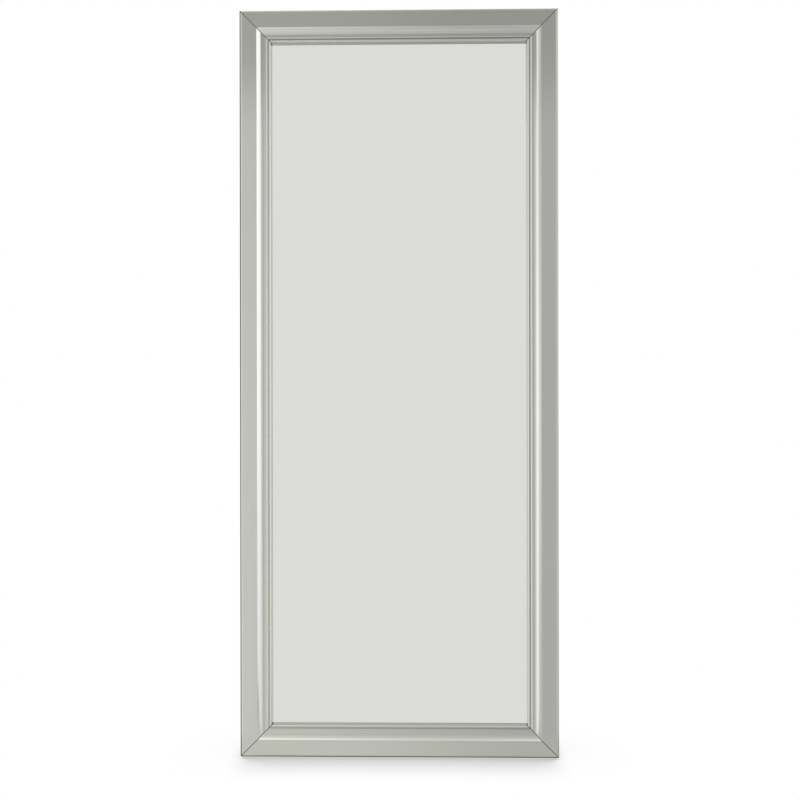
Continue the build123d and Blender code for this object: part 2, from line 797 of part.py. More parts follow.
def strike_screw_points(z):
    """Screw places of a strike plate, on its outer face."""
    x = x_in - CATCH_WIDTH / 2
    return [(x, y_door_back + STRIKE_THICKNESS, z + sign * STRIKE_SCREW_OFFSET) for sign in (-1, 1)]


def strike_plate(z):
    """Steel plate on the door that the catch pulls on."""
    x = x_in - CATCH_WIDTH / 2
    half = STRIKE_WIDTH / 2
    plate = block(
        (x - half, y_door_back, z - STRIKE_HEIGHT / 2),
        (x + half, y_door_back + STRIKE_THICKNESS, z + STRIKE_HEIGHT / 2),
    )
    plate = fillet(plate.edges().filter_by(Axis.Y), STRIKE_CORNER)
    points = strike_screw_points(z)
    cuts = screw_holes(points, FORWARD, SMALL_SHANK, STRIKE_THICKNESS)
    return plate - cuts - countersinks(points, FORWARD, SMALL_HEAD, SMALL_SHANK)


def bumpers():
    """Soft discs on the front edge of the right side, which the closed door meets."""
    heights = spread(z_low + BUMPER_END_INSET, z_high - BUMPER_END_INSET, BUMPER_COUNT)
    return [rod((x_board, y_carcass, z), FORWARD, BUMPER_RADIUS, door_gap - BUMPER_GAP) for z in heights]


def glide_points():
    """Centres of the glides on the floor."""
    depths = (y_carcass + GLIDE_INSET, y_back - GLIDE_INSET)
    return [(side * x_board, y, 0) for side in (-1, 1) for y in depths]


def glide(point):
    """Nylon glide with a recess for its nail's head."""
    pad = rod(point, UP, GLIDE_RADIUS, GLIDE_HEIGHT)
    pad = chamfer(pad.faces().sort_by(Axis.Z)[0].edges(), GLIDE_EASE)
    recess = rod(point, UP, NAIL_HEAD_RADIUS + SCREW_CLEARANCE, NAIL_RECESS)
    return pad - recess - rod(point, UP, NAIL_RADIUS + SCREW_CLEARANCE, GLIDE_HEIGHT)


def glide_nail(point):
    """Nail that holds a glide, with its head sunk in the pad."""
    x, y, floor = point
    seat = (x, y, floor + nail_seat)
    head = rod(seat, UP, NAIL_HEAD_RADIUS, NAIL_HEAD_HEIGHT)
    return head + rod(seat, UP, NAIL_RADIUS, NAIL_LENGTH)


def glide_nail_holes():
    """Bores for the glide nails in the lower ends of the sides."""
    return [rod(point, UP, NAIL_RADIUS + SCREW_CLEARANCE, nail_tip + HOLE_EXTRA) for point in glide_points()]


def side_panel(side):
    """Side of the cabinet, with its rebate, shelf pin holes and bores for the fittings."""
    xs = sorted((side * x_in, side * x_out))
    board = block((xs[0], y_carcass, z_low), (xs[1], y_back, z_high))
    rebate_xs = sorted((side * x_in, side * (x_in + BACK_REBATE)))
    board -= block((rebate_xs[0], y_panel_front, z_low), (rebate_xs[1], y_back, z_high))
    cuts = pin_holes(side) + cam_cuts() + dowels(DOWEL_CLEARANCE) + glide_nail_holes()
    cuts += screw_holes(back_screw_points(), FORWARD, PAN_SHANK, PAN_LENGTH)
    if side < 0:
        cuts += screw_holes(hinge_screw_points(y_carcass - HINGE_LEAF), BACKWARD, SMALL_SHANK, SMALL_LENGTH)
    else:
        for z in catch_heights():
            cuts += screw_holes(catch_screw_points(z), RIGHT, PAN_SHANK, PAN_LENGTH)
    return board - near(board, cuts)


def near(board, cuts):
    """The cuts whose boxes meet the board's box."""
    box = board.bounding_box()
    kept = []
    for cut in cuts:
        other = cut.bounding_box()
        apart = (
            other.min.X > box.max.X
            or other.max.X < box.min.X
            or other.min.Y > box.max.Y
            or other.max.Y < box.min.Y
            or other.min.Z > box.max.Z
            or other.max.Z < box.min.Z
        )
        if not apart:
            kept.append(cut)
    return kept


def cross_board(low, high, front, back):
    """Board or rail between the sides, bored for its cams, dowels and screws."""
    board = block((-x_in, front, low), (x_in, back, high))
    cuts = cam_cuts() + dowels(DOWEL_CLEARANCE) + wall_holes()
    cuts += screw_holes(back_screw_points(), FORWARD, PAN_SHANK, PAN_LENGTH)
    return board - near(board, cuts)


def frame_nodes():
    """The four mouldings, with mortises and screw holes at the back."""
    low_left = (-x_frame, y_door_back, z_frame_low)
    low_right = (x_frame, y_door_back, z_frame_low)
    high_left = (-x_frame, y_door_back, z_frame_high)
    high_right = (x_frame, y_door_back, z_frame_high)
    members = {
        "frame_left_stile": frame_member(high_left, DOWN, FRAME_HEIGHT),
        "frame_right_stile": frame_member(low_right, UP, FRAME_HEIGHT),
        "frame_top_rail": frame_member(high_right, LEFT, FRAME_WIDTH),
        "frame_bottom_rail": frame_member(low_left, RIGHT, FRAME_WIDTH),
    }
    cuts = mitre_tenons(TENON_CLEARANCE)
    for corner in frame_corners():
        cuts += screw_holes(corner_plate_holes(corner), FORWARD, SMALL_SHANK, SMALL_LENGTH)
    cuts += screw_holes(backer_screw_points(), FORWARD, PAN_SHANK, PAN_LENGTH)
    cuts += screw_holes(hinge_screw_points(y_door_back + HINGE_LEAF), FORWARD, SMALL_SHANK, SMALL_LENGTH)
    for z in catch_heights():
        cuts += screw_holes(strike_screw_points(z), FORWARD, SMALL_SHANK, SMALL_LENGTH)
    return {name: member - near(member, cuts) for name, member in members.items()}


def door_nodes():
    """Everything that swings with the mirror."""
    small = countersunk_screw(SMALL_HEAD, SMALL_SHANK, SMALL_LENGTH)
    pan = pan_screw()
    corners = frame_corners()
    plate_points = [point for corner in corners for point in corner_plate_holes(corner)]
    strike_points = [point for z in catch_heights() for point in strike_screw_points(z)]
    nodes = frame_nodes()
    nodes["mitre_tenons"] = mitre_tenons(0)
    nodes["corner_plates"] = [corner_plate(corner) for corner in corners]
    nodes["corner_plate_screws"] = placed(small, plate_points, FORWARD)
    nodes["mirror_glass"] = mirror_glass()
    nodes["glass_foam_tape"] = foam_strips()
    nodes["glass_setting_blocks"] = setting_blocks()
    nodes["mirror_backer"] = door_backer()
    nodes["backer_screws"] = placed(pan, backer_screw_points(), FORWARD)
    nodes["hinge_door_leaf"] = hinge_leaf(on_door=True)
    nodes["hinge_door_screws"] = placed(small, hinge_screw_points(y_door_back + HINGE_LEAF), FORWARD)
    nodes["strike_plates"] = [strike_plate(z) for z in catch_heights()]
    nodes["strike_screws"] = placed(small, strike_points, FORWARD)
    return nodes


def cabinet_nodes():
    """Everything that stands still."""
    small = countersunk_screw(SMALL_HEAD, SMALL_SHANK, SMALL_LENGTH)
    pan = pan_screw()
    catch_points = [point for z in catch_heights() for point in catch_screw_points(z)]
    nodes = {"left_side": side_panel(-1), "right_side": side_panel(1)}
    for name, (low, front, back) in joined_boards().items():
        nodes[name] = cross_board(low, low + BOARD, front, back)
    for name, (low, high, front, back) in rails().items():
        nodes[name] = cross_board(low, high, front, back)
    for number, index in enumerate(loose_shelves(), start=1):
        nodes[f"loose_shelf_{number}"] = shelf(index)
    nodes["shelf_pins"] = shelf_pins()
    nodes["back_panel"] = back_panel()
    nodes["back_panel_screws"] = placed(pan, back_screw_points(), FORWARD)
    nodes["cam_locks"] = [cam(point, side) for point, side in cam_points()]
    nodes["cam_bolts"] = [cam_bolt(point, side) for point, side in cam_points()]
    nodes["dowels"] = dowels(0)
    nodes["hinge_cabinet_leaf"] = hinge_leaf(on_door=False)
    nodes["hinge_cabinet_screws"] = placed(small, hinge_screw_points(y_carcass - HINGE_LEAF), BACKWARD)
    nodes["hinge_pin"] = hinge_pin()
    nodes["catch_housings"] = [catch_housing(z) for z in catch_heights()]
    nodes["catch_magnets"] = [catch_magnet(z) for z in catch_heights()]
    nodes["catch_pole_plates"] = [plate for z in catch_heights() for plate in catch_poles(z)]
    nodes["catch_screws"] = placed(pan, catch_points, RIGHT)
    nodes["door_bumpers"] = bumpers()
    nodes["glides"] = [glide(point) for point in glide_points()]
    nodes["glide_nails"] = [glide_nail(point) for point in glide_points()]
    return nodes


def write(nodes):
    """Writes one STEP file for each node."""
    os.makedirs("parts", exist_ok=True)
    for name, shape in nodes.items():
        pieces = shape if isinstance(shape, list) else [shape]
        solids = [solid for piece in pieces for solid in piece.solids()]
        export_step(Compound(solids), f"parts/{name}.step")


write({**door_nodes(), **cabinet_nodes()})
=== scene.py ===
"""Dresses the standing mirror with shelves: mouldings, mirror plate, boards, fittings and their finishes.

Lengths are metres in the model's own frame: X to the viewer's right, Y towards the wall, Z up.
Every place comes from the model's solids, so the pieces fit it without being moved.
"""
import json
import logging
from dataclasses import dataclass, field
from enum import Enum
from math import atan, cos, degrees, pi, radians, sin, sqrt, tan
from typing import Iterable, Optional, Sequence, Union

import bmesh
import bpy
import numpy as np
from mathutils import Matrix, Vector


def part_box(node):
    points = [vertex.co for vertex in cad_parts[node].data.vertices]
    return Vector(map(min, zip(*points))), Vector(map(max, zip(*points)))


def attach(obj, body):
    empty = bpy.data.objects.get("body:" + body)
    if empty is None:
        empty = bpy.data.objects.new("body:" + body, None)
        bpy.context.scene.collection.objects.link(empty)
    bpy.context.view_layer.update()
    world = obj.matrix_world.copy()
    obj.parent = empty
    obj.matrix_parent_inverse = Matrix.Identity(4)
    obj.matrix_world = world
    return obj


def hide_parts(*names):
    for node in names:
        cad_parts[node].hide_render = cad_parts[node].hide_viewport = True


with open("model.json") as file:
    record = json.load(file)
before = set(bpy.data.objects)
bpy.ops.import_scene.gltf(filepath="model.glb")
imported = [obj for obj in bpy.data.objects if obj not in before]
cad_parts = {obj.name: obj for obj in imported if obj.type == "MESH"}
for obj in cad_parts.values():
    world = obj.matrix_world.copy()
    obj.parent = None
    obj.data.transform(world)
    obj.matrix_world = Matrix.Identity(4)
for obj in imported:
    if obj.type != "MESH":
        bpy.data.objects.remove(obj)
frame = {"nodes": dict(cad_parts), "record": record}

LOG = logging.getLogger("standing_mirror")
MM = 0.001
POINT_GRID = 1e-6  # Points closer than this are one, in metres
CREASE = 32.0  # Edges that turn more than this stay crisp, in degrees
FOLD = 60.0  # Edges of a board that turn more than this are eased, in degrees
EASE_FLATS = 2  # Flats along an eased edge
FRONT_FLATS = 6  # Flats along the rounder front edge of a loose shelf
FACING = 0.99  # Y part of the direction that makes a face of the plate its front or its back

Colour = tuple[float, float, float]
Point = tuple[float, float, float]


class Grain(Enum):
    """Direction that brushing, wood grain or lacquer streaks run in."""

    ALONG_X = 0
    ALONG_Y = 1
    ALONG_Z = 2

    def cell(self, across: float, along: float) -> list[float]:
        """Patch size along X, Y and Z for noise drawn out along the grain."""
        return [along if axis == self.value else across for axis in range(3)]


class Member(Enum):
    """One side of the mirror frame: its outer corner at rest, its direction and the way in to the mirror."""

    LEFT = ("frame_left_stile", (-1, 1), (0, 0, -1), (1, 0, 0))
    RIGHT = ("frame_right_stile", (1, -1), (0, 0, 1), (-1, 0, 0))
    TOP = ("frame_top_rail", (1, 1), (-1, 0, 0), (0, 0, -1))
    BOTTOM = ("frame_bottom_rail", (-1, -1), (1, 0, 0), (0, 0, 1))

    @property
    def node(self) -> str:
        """Name of the model's node."""
        return self.value[0]

    @property
    def corner(self) -> tuple[int, int]:
        """Which end of the width and of the height the member starts at."""
        return self.value[1]

    @property
    def along(self) -> Vector:
        """Direction of the member's length."""
        return Vector(self.value[2])

    @property
    def inward(self) -> Vector:
        """Direction from the member's outer face to the mirror."""
        return Vector(self.value[3])

    @property
    def grain(self) -> Grain:
        """Direction of the lacquer's streaks."""
        return Grain.ALONG_X if self.along.x else Grain.ALONG_Z


# Shader expressions


class Signal:
    """A value that a shader works out, wrapped so that Python's operators add Math nodes."""

    def __init__(self, graph: "Graph", socket: bpy.types.NodeSocket) -> None:
        """Keeps the socket that carries the value.

        Args:
            graph: The node graph that the socket belongs to.
            socket: The output socket.
        """
        self.graph = graph
        self.socket = socket

    def maths(self, operation: str, *others: "Number") -> "Signal":
        """Adds one Math node with this value first.

        Args:
            operation: The Math node's operation.
            others: Its further inputs.

        Returns:
            The node's result.
        """
        inputs = dict(enumerate((self, *others)))
        return self.graph.node("ShaderNodeMath", {"operation": operation}, inputs)

    def __add__(self, other: "Number") -> "Signal":
        """Sum."""
        return self.maths("ADD", other)

    def __sub__(self, other: "Number") -> "Signal":
        """Difference."""
        return self.maths("SUBTRACT", other)

    def __rsub__(self, other: "Number") -> "Signal":
        """Difference from a number on the left."""
        return self.graph.node("ShaderNodeMath", {"operation": "SUBTRACT"}, {0: other, 1: self})

    def __mul__(self, other: "Number") -> "Signal":
        """Product."""
        return self.maths("MULTIPLY", other)

    def __truediv__(self, other: "Number") -> "Signal":
        """Quotient."""
        return self.maths("DIVIDE", other)

    __radd__ = __add__
    __rmul__ = __mul__

    def __abs__(self) -> "Signal":
        """Size without sign."""
        return self.maths("ABSOLUTE")

    def least(self, other: "Number") -> "Signal":
        """The smaller of two values."""
        return self.maths("MINIMUM", other)

    def most(self, other: "Number") -> "Signal":
        """The larger of two values."""
        return self.maths("MAXIMUM", other)

    def step(self, low: float, high: float, start: float = 0.0, end: float = 1.0) -> "Signal":
        """Smooth change from start to end as the value goes from low to high.

        Args:
            low: Value at which the change begins.
            high: Value at which it is complete.
            start: Result at and before low.
            end: Result at and after high.

        Returns:
            The smoothed value.
        """
        settings = {"interpolation_type": "SMOOTHSTEP"}
        inputs = {0: self, 1: low, 2: high, 3: start, 4: end}
        return self.graph.node("ShaderNodeMapRange", settings, inputs)


Number = Union[float, Signal]
Feed = Union[float, Sequence[float], Signal]


class Graph:
    """The nodes of one material or world."""

    def __init__(self, tree: bpy.types.NodeTree) -> None:
        """Empties the tree.

        Args:
            tree: Node tree of a material or world.
        """
        self.tree = tree
        tree.nodes.clear()

    def node(self, kind: str, settings: Optional[dict] = None, inputs: Optional[dict] = None,
             output: Union[int, str] = 0) -> Signal:
        """Adds a node of any type.

        Args:
            kind: Blender's name of the node type.
            settings: The node's own properties, or the stops of a ramp as {place: grey level}.
            inputs: Values or signals, by the input's name or number.
            output: The output to return.

        Returns:
            That output.
        """
        made = self.tree.nodes.new(kind)
        for name, value in (settings or {}).items():
            if name == "stops":
                self.set_stops(made.color_ramp, value)
            else:
                setattr(made, name, value)
        for name, value in (inputs or {}).items():
            self.feed(made.inputs[name], value)
        return Signal(self, made.outputs[output])

    def feed(self, socket: bpy.types.NodeSocket, value: Feed) -> None:
        """Links a signal to an input, or sets the input's own value.

        Args:
            socket: The input.
            value: A signal, a number, or a colour or vector.
        """
        if isinstance(value, Signal):
            self.tree.links.new(value.socket, socket)
        elif isinstance(value, (int, float)):
            socket.default_value = value
        else:
            socket.default_value = [*value, 1.0] if socket.type == "RGBA" else value

    @staticmethod
    def set_stops(ramp: bpy.types.ColorRamp, stops: dict[float, float]) -> None:
        """Sets a ramp's grey stops.

        Args:
            ramp: The ramp.
            stops: Grey level at each place from 0 to 1.
        """
        while len(ramp.elements) < len(stops):
            ramp.elements.new(1.0)
        for element, (place, level) in zip(ramp.elements, sorted(stops.items())):
            element.position = place
            element.color = (level, level, level, 1.0)

    def place(self) -> Signal:
        """Position in the model's frame, in metres."""
        return self.node("ShaderNodeTexCoord", output="Object")

    def parts(self, vector: Signal) -> tuple[Signal, Signal, Signal]:
        """X, Y and Z of a vector.

        Args:
            vector: The vector.

        Returns:
            Its three parts.
        """
        split = self.node("ShaderNodeSeparateXYZ", inputs={0: vector})
        return tuple(Signal(self, socket) for socket in split.socket.node.outputs)

    def open_sky(self, reach: float, samples: int) -> Signal:
        """Share of the space around a point that nothing blocks.

        Args:
            reach: How far away things count, in metres.
            samples: Rays to a point.

        Returns:
            The share.
        """
        inputs = {"Distance": reach}
        return self.node("ShaderNodeAmbientOcclusion", {"samples": samples}, inputs, output="AO")

    def noise(self, place: Signal, cell: Union[float, Sequence[float]], detail: float = 2.0,
              seed: float = 0.0) -> Signal:
        """Soft noise from 0 to 1.

        Args:
            place: Position.
            cell: Size of a patch, or its size along X, Y and Z, in metres.
            detail: Number of finer layers.
            seed: Offset that gives another pattern.

        Returns:
            The noise.
        """
        sizes = (cell,) * 3 if isinstance(cell, float) else cell
        scale = [1.0 / size for size in sizes]
        scaled = self.node("ShaderNodeVectorMath", {"operation": "MULTIPLY_ADD"},
                           {0: place, 1: scale, 2: (seed, seed, seed)})
        return self.node("ShaderNodeTexNoise", inputs={"Vector": scaled, "Scale": 1.0, "Detail": detail})

    def mix(self, share: Number, first: Feed, second: Feed) -> Signal:
        """Blend of two colours.

        Args:
            share: Share of the second colour.
            first: First colour.
            second: Second colour.

        Returns:
            The blend.
        """
        return self.node("ShaderNodeMix", {"data_type": "RGBA"}, {0: share, 6: first, 7: second}, output=2)

    def bump(self, height: Signal, distance: float, strength: float = 1.0) -> Signal:
        """Surface direction over a height field.

        Args:
            height: Height from 0 to 1.
            distance: Real height of 1, in metres.
            strength: Share of the effect.

        Returns:
            The bent normal.
        """
        inputs = {"Height": height, "Distance": distance, "Strength": strength}
        return self.node("ShaderNodeBump", inputs=inputs)

    def surface(self, **inputs: Feed) -> Signal:
        """Main shader.

        Args:
            inputs: Its inputs, with spaces in their names written as underscores.

        Returns:
            The shader.
        """
        named = {name.replace("_", " "): value for name, value in inputs.items()}
        return self.node("ShaderNodeBsdfPrincipled", inputs=named)

    def finish(self, shader: Signal, kind: str = "ShaderNodeOutputMaterial") -> None:
        """Links the shader to the output.

        Args:
            shader: The finished shader.
            kind: Type of the output node.
        """
        output = self.tree.nodes.new(kind)
        self.tree.links.new(shader.socket, output.inputs["Surface"])


# Finishes


def scaled(colour: Colour, share: float) -> Colour:
    """A colour times a share."""
    return tuple(share * part for part in colour)


def from_edges(x: Signal, z: Signal, half_width: float, low: float, high: float) -> tuple[Signal, Signal]:
    """Distances inward from the two upright sides and from the two level ends of a rectangle.

    Args:
        x: Place across, from the middle.
        z: Height.
        half_width: Half the rectangle's width.
        low: Its lower end.
        high: Its upper end.

    Returns:
        The distance from the nearer side, and from the nearer end.
    """
    return half_width - abs(x), (z - low).least(high - z)


@dataclass(frozen=True)
class Finish:
    """A surface finish, whose subclasses say how it is drawn."""

    name: str
    colour: Colour
    roughness: float

    def material(self) -> bpy.types.Material:
        """The finish's material, made when it is first asked for."""
        made = bpy.data.materials.get(self.name)
        if made is None:
            made = bpy.data.materials.new(self.name)
            made.use_nodes = True
            graph = Graph(made.node_tree)
            graph.finish(self.draw(graph))
        return made

    def tinted(self, share: float) -> Colour:
        """The finish's colour times a share."""
        return scaled(self.colour, share)

    def draw(self, graph: Graph) -> Signal:
        """Draws the finish.

        Args:
            graph: The material's nodes.

        Returns:
            The shader.
        """
        raise NotImplementedError


@dataclass(frozen=True)
class FrameLacquer(Finish):
    """Champagne-silver lacquer over the moulding, brushed along its length.

    It is darker in each mitre seam, and painted shade darkens the quirk and other hollows, the wall down to
    the glass and the outer edge.
    """

    grain: Grain
    half_width: float
    low: float
    high: float
    # Strength of the painted shade on the wall down to the glass.
    lip_shade_share: float
    # Strength of the painted shade along the outer edge.
    edge_shade_share: float
    warm: Colour = (0.605, 0.612, 0.54)
    warm_parts: tuple[float, float] = (0.55, 0.45)
    seam_line: tuple[float, float] = (0.5 * MM, 1.3 * MM)
    seam_share: float = 0.85
    seam_tone: Colour = (0.17, 0.165, 0.145)
    # Painted shade in the hollows: how far it looks for open space, where it starts, its strength and its
    # tone.
    painted_shade_reach: float = 5.0 * MM
    painted_shade_open: tuple[float, float] = (0.3, 0.75)
    painted_shade_share: float = 0.75
    painted_shade_tone: Colour = (0.22, 0.22, 0.20)
    # Painted shade on the wall down to the glass: the level where it starts, its fade and how far in it
    # begins.
    lip_level: float = -0.092
    lip_fade: float = 1.0 * MM
    lip_start: float = 60.0 * MM
    # Painted shade along the outer edge: where it stops towards the back, its width and its tone.
    edge_level: float = -0.098
    edge_line: tuple[float, float] = (2.1 * MM, 2.9 * MM)
    edge_shade_tone: Colour = (0.05, 0.05, 0.045)
    streak_cell: tuple[float, float] = (1.6 * MM, 0.5)
    streak_share: float = 0.10
    streak_dark: float = 0.72
    band_cell: tuple[float, float] = (0.012, 0.9)
    cloud_cell: tuple[float, float] = (0.16, 0.32)
    flake_size: float = 0.35 * MM
    rough_parts: tuple[float, float, float] = (0.07, 0.06, 0.25)
    relief_depth: float = 0.012 * MM

    def draw(self, graph: Graph) -> Signal:
        """Draws the lacquer: clouds of two tones, fine streaks, the darker mitre seams and the painted
        shade.
        """
        place = graph.place()
        streaks = graph.noise(place, self.grain.cell(*self.streak_cell), detail=3.0)
        bands = graph.noise(place, self.grain.cell(*self.band_cell), seed=7.0)
        clouds = graph.noise(place, self.grain.cell(*self.cloud_cell), detail=3.0, seed=3.0)
        flake = graph.noise(place, self.flake_size, detail=1.0, seed=11.0)
        tone = clouds.step(0.35, 0.65) * self.warm_parts[0] + bands.step(0.3, 0.7) * self.warm_parts[1]
        colour = graph.mix(tone, self.colour, self.warm)
        streaked = streaks.step(0.3, 0.75) * self.streak_share
        shaded = graph.mix(streaked, colour, self.tinted(self.streak_dark))
        x, y, z = graph.parts(place)
        from_side, from_end = from_edges(x, z, self.half_width, self.low, self.high)
        seam = (abs(from_side - from_end) / sqrt(2)).step(*self.seam_line, 1.0, 0.0)
        from_outside = from_side.least(from_end)
        # Painted shade on the lip wall, stronger on some sides of the frame than on others.
        inner = from_outside.step(self.lip_start, self.lip_start + self.lip_fade)
        deep = inner * y.step(self.lip_level - self.lip_fade, self.lip_level, 0.0, self.lip_shade_share)
        # Painted shade: a dark line along the front of the outer edge, stronger on some sides than on
        # others.
        front = y.step(self.edge_level - self.lip_fade, self.edge_level, 1.0, 0.0)
        painted_edge_shade = front * from_outside.step(*self.edge_line, self.edge_shade_share, 0.0)
        # Painted shade in the quirk and the other hollows, joined with the painted shade on the lip wall.
        painted_shade = graph.open_sky(self.painted_shade_reach, 8).step(*self.painted_shade_open, self.painted_shade_share, 0.0).most(deep)
        with_painted_shade = graph.mix(painted_edge_shade, graph.mix(painted_shade, shaded, self.painted_shade_tone), self.edge_shade_tone)
        rough_streak, rough_cloud, rough_seam = self.rough_parts
        uneven = rough_streak * (streaks - 0.5) + rough_cloud * (clouds - 0.5)
        return graph.surface(
            Base_Color=graph.mix(seam * self.seam_share, with_painted_shade, self.seam_tone),
            Metallic=1.0,
            Roughness=self.roughness + uneven + rough_seam * seam,
            Normal=graph.bump(0.6 * streaks + 0.4 * flake, self.relief_depth, 0.6),
        )


@dataclass(frozen=True)
class SilveredGlass(Finish):
    """Mirror plate seen from the front: silvering behind clear glass, with a painted reflection that makes
    it a little greener at its edges.
    """

    half_width: float
    low: float
    high: float
    # Colour that both the haze and the painted greener rim blend towards, then how far in the rim reaches.
    haze_and_painted_rim_colour: Colour = (0.868, 0.884, 0.842)
    painted_rim_band: float = 0.03
    haze_size: float = 0.22
    haze_share: float = 0.06

    def draw(self, graph: Graph) -> Signal:
        """Draws the silvering, its painted greener rim and a trace of haze, perfectly sharp."""
        place = graph.place()
        x, _, z = graph.parts(place)
        from_side, from_end = from_edges(x, z, self.half_width, self.low, self.high)
        # Painted reflection: the face turns greener towards its edges.
        rim = from_side.least(from_end).step(0.0, self.painted_rim_band, 1.0, 0.0)
        haze = graph.noise(place, self.haze_size, detail=4.0, seed=5.0).step(0.45, 0.8)
        clear = graph.mix(self.haze_share * haze, self.colour, self.haze_and_painted_rim_colour)
        return graph.surface(
            Base_Color=graph.mix(rim, clear, self.haze_and_painted_rim_colour),
            Metallic=1.0,
            Roughness=self.roughness,
        )


@dataclass(frozen=True)
class GlassEdge(Finish):
    """Ground edge of the plate, sea green."""

    grind_size: float = 0.6 * MM
    grind_depth: float = 0.02 * MM

    def draw(self, graph: Graph) -> Signal:
        """Draws the ground glass."""
        grind = graph.noise(graph.place(), self.grind_size)
        return graph.surface(
            Base_Color=graph.mix(grind, self.colour, self.tinted(0.8)),
            Roughness=self.roughness + 0.15 * grind,
            Normal=graph.bump(grind, self.grind_depth),
        )


@dataclass(frozen=True)
class BoardLacquer(Finish):
    """Satin metallic lacquer sprayed on board, with a slight orange peel."""

    peel_size: float = 2.2 * MM
    cloud_size: float = 0.2
    flake_size: float = 0.3 * MM
    scuff_cell: tuple[float, float, float] = (0.03, 0.03, 0.008)
    metal: float = 0.65
    relief_depth: float = 0.03 * MM

    def draw(self, graph: Graph) -> Signal:
        """Draws the lacquer's clouds, peel and flakes."""
        place = graph.place()
        peel = graph.noise(place, self.peel_size)
        clouds = graph.noise(place, self.cloud_size, detail=3.0, seed=4.0)
        flake = graph.noise(place, self.flake_size, detail=1.0, seed=9.0)
        scuffs = graph.noise(place, self.scuff_cell, detail=5.0, seed=2.0).step(0.62, 0.78)
        tone = 0.5 * clouds.step(0.3, 0.7) + 0.3 * flake
        return graph.surface(
            Base_Color=graph.mix(tone, self.colour, self.tinted(1.09)),
            Metallic=self.metal,
            Roughness=self.roughness + 0.08 * (clouds - 0.5) + 0.05 * scuffs,
            Normal=graph.bump(0.8 * peel + 0.2 * flake, self.relief_depth, 0.5),
        )


@dataclass(frozen=True)
class ShelfFace(Finish):
    """Pale melamine-faced board with a fine linen-like grain, and a glue line behind its front edging."""

    front: float
    edging: float = 1.0 * MM
    line_half: float = 0.14 * MM
    line_colour: Colour = (0.45, 0.42, 0.36)
    fibre_cell: tuple[float, float, float] = (0.12, 1.1 * MM, 1.1 * MM)
    broad_cell: tuple[float, float, float] = (0.5, 0.02, 0.02)
    pore_cell: tuple[float, float, float] = (0.006, 0.35 * MM, 0.35 * MM)
    pore_share: float = 0.12
    relief_depth: float = 0.03 * MM

    def draw(self, graph: Graph) -> Signal:
        """Draws the board's print, its pores and the line behind the edging."""
        place = graph.place()
        _, y, _ = graph.parts(place)
        fibres = graph.noise(place, self.fibre_cell, detail=3.0)
        broad = graph.noise(place, self.broad_cell, seed=6.0)
        pores = graph.noise(place, self.pore_cell, detail=1.0, seed=8.0).step(0.58, 0.7)
        print_tone = 0.5 * fibres.step(0.35, 0.65) + 0.5 * broad.step(0.3, 0.7)
        colour = graph.mix(print_tone, self.colour, self.tinted(0.93))
        line = abs(y - (self.front + self.edging)).step(self.line_half, 2 * self.line_half, 1.0, 0.0)
        pored = graph.mix(self.pore_share * pores, colour, self.line_colour)
        return graph.surface(
            Base_Color=graph.mix(line, pored, self.line_colour),
            Roughness=self.roughness + 0.08 * (fibres - 0.5),
            Normal=graph.bump(1 - (0.5 * fibres + 0.5 * pores), self.relief_depth, 0.5),
        )


@dataclass(frozen=True)
class Hardboard(Finish):
    """Pressed fibre board, brown and slightly hairy, or lacquered on one face."""

    face: Optional[float] = None
    face_colour: Colour = (0.74, 0.73, 0.69)
    face_depth: float = 0.3 * MM
    fibre_size: float = 2.5 * MM
    hair_cell: tuple[float, float, float] = (0.5 * MM, 0.5 * MM, 4.0 * MM)
    cloud_size: float = 0.15
    relief_depth: float = 0.12 * MM

    def draw(self, graph: Graph) -> Signal:
        """Draws the fibres, the darker specks and the painted face."""
        place = graph.place()
        fibres = graph.noise(place, self.fibre_size, detail=6.0)
        hair = graph.noise(place, self.hair_cell, seed=4.0)
        clouds = graph.noise(place, self.cloud_size, seed=9.0)
        tone = 0.6 * fibres.step(0.3, 0.7) + 0.4 * clouds
        colour = graph.mix(tone, self.tinted(0.72), self.tinted(1.18))
        colour = graph.mix(0.5 * hair.step(0.66, 0.74), colour, self.tinted(0.45))
        roughness = self.roughness + 0.1 * (fibres - 0.5)
        if self.face is not None:
            _, y, _ = graph.parts(place)
            painted = y.step(self.face + self.face_depth, self.face + 2 * self.face_depth, 1.0, 0.0)
            paint = graph.mix(clouds, self.face_colour, scaled(self.face_colour, 0.95))
            colour = graph.mix(painted, colour, paint)
            roughness = roughness - 0.3 * painted
        return graph.surface(
            Base_Color=colour,
            Roughness=roughness,
            Normal=graph.bump(0.7 * fibres + 0.3 * hair, self.relief_depth, 0.5),
        )


@dataclass(frozen=True)
class PlatedSteel(Finish):
    """Bright zinc plate on steel, with the rolling marks of the strip under it."""

    grain: Grain
    mark_cell: tuple[float, float] = (0.4 * MM, 0.03)
    crystals_to_a_metre: float = 420.0
    dull_size: float = 0.012
    relief_depth: float = 0.02 * MM

    def draw(self, graph: Graph) -> Signal:
        """Draws the plate's crystals, rolling marks and dull patches."""
        place = graph.place()
        marks = graph.noise(place, self.grain.cell(*self.mark_cell), detail=3.0)
        spacing = {"Vector": place, "Scale": self.crystals_to_a_metre}
        crystals = graph.node("ShaderNodeTexVoronoi", inputs=spacing, output="Distance")
        dull = graph.noise(place, self.dull_size, detail=4.0, seed=6.0).step(0.5, 0.75)
        return graph.surface(
            Base_Color=graph.mix(0.35 * crystals + 0.3 * dull, self.colour, self.tinted(0.7)),
            Metallic=1.0,
            Roughness=self.roughness + 0.12 * (marks - 0.5) + 0.16 * dull,
            Normal=graph.bump(marks, self.relief_depth, 0.5),
        )


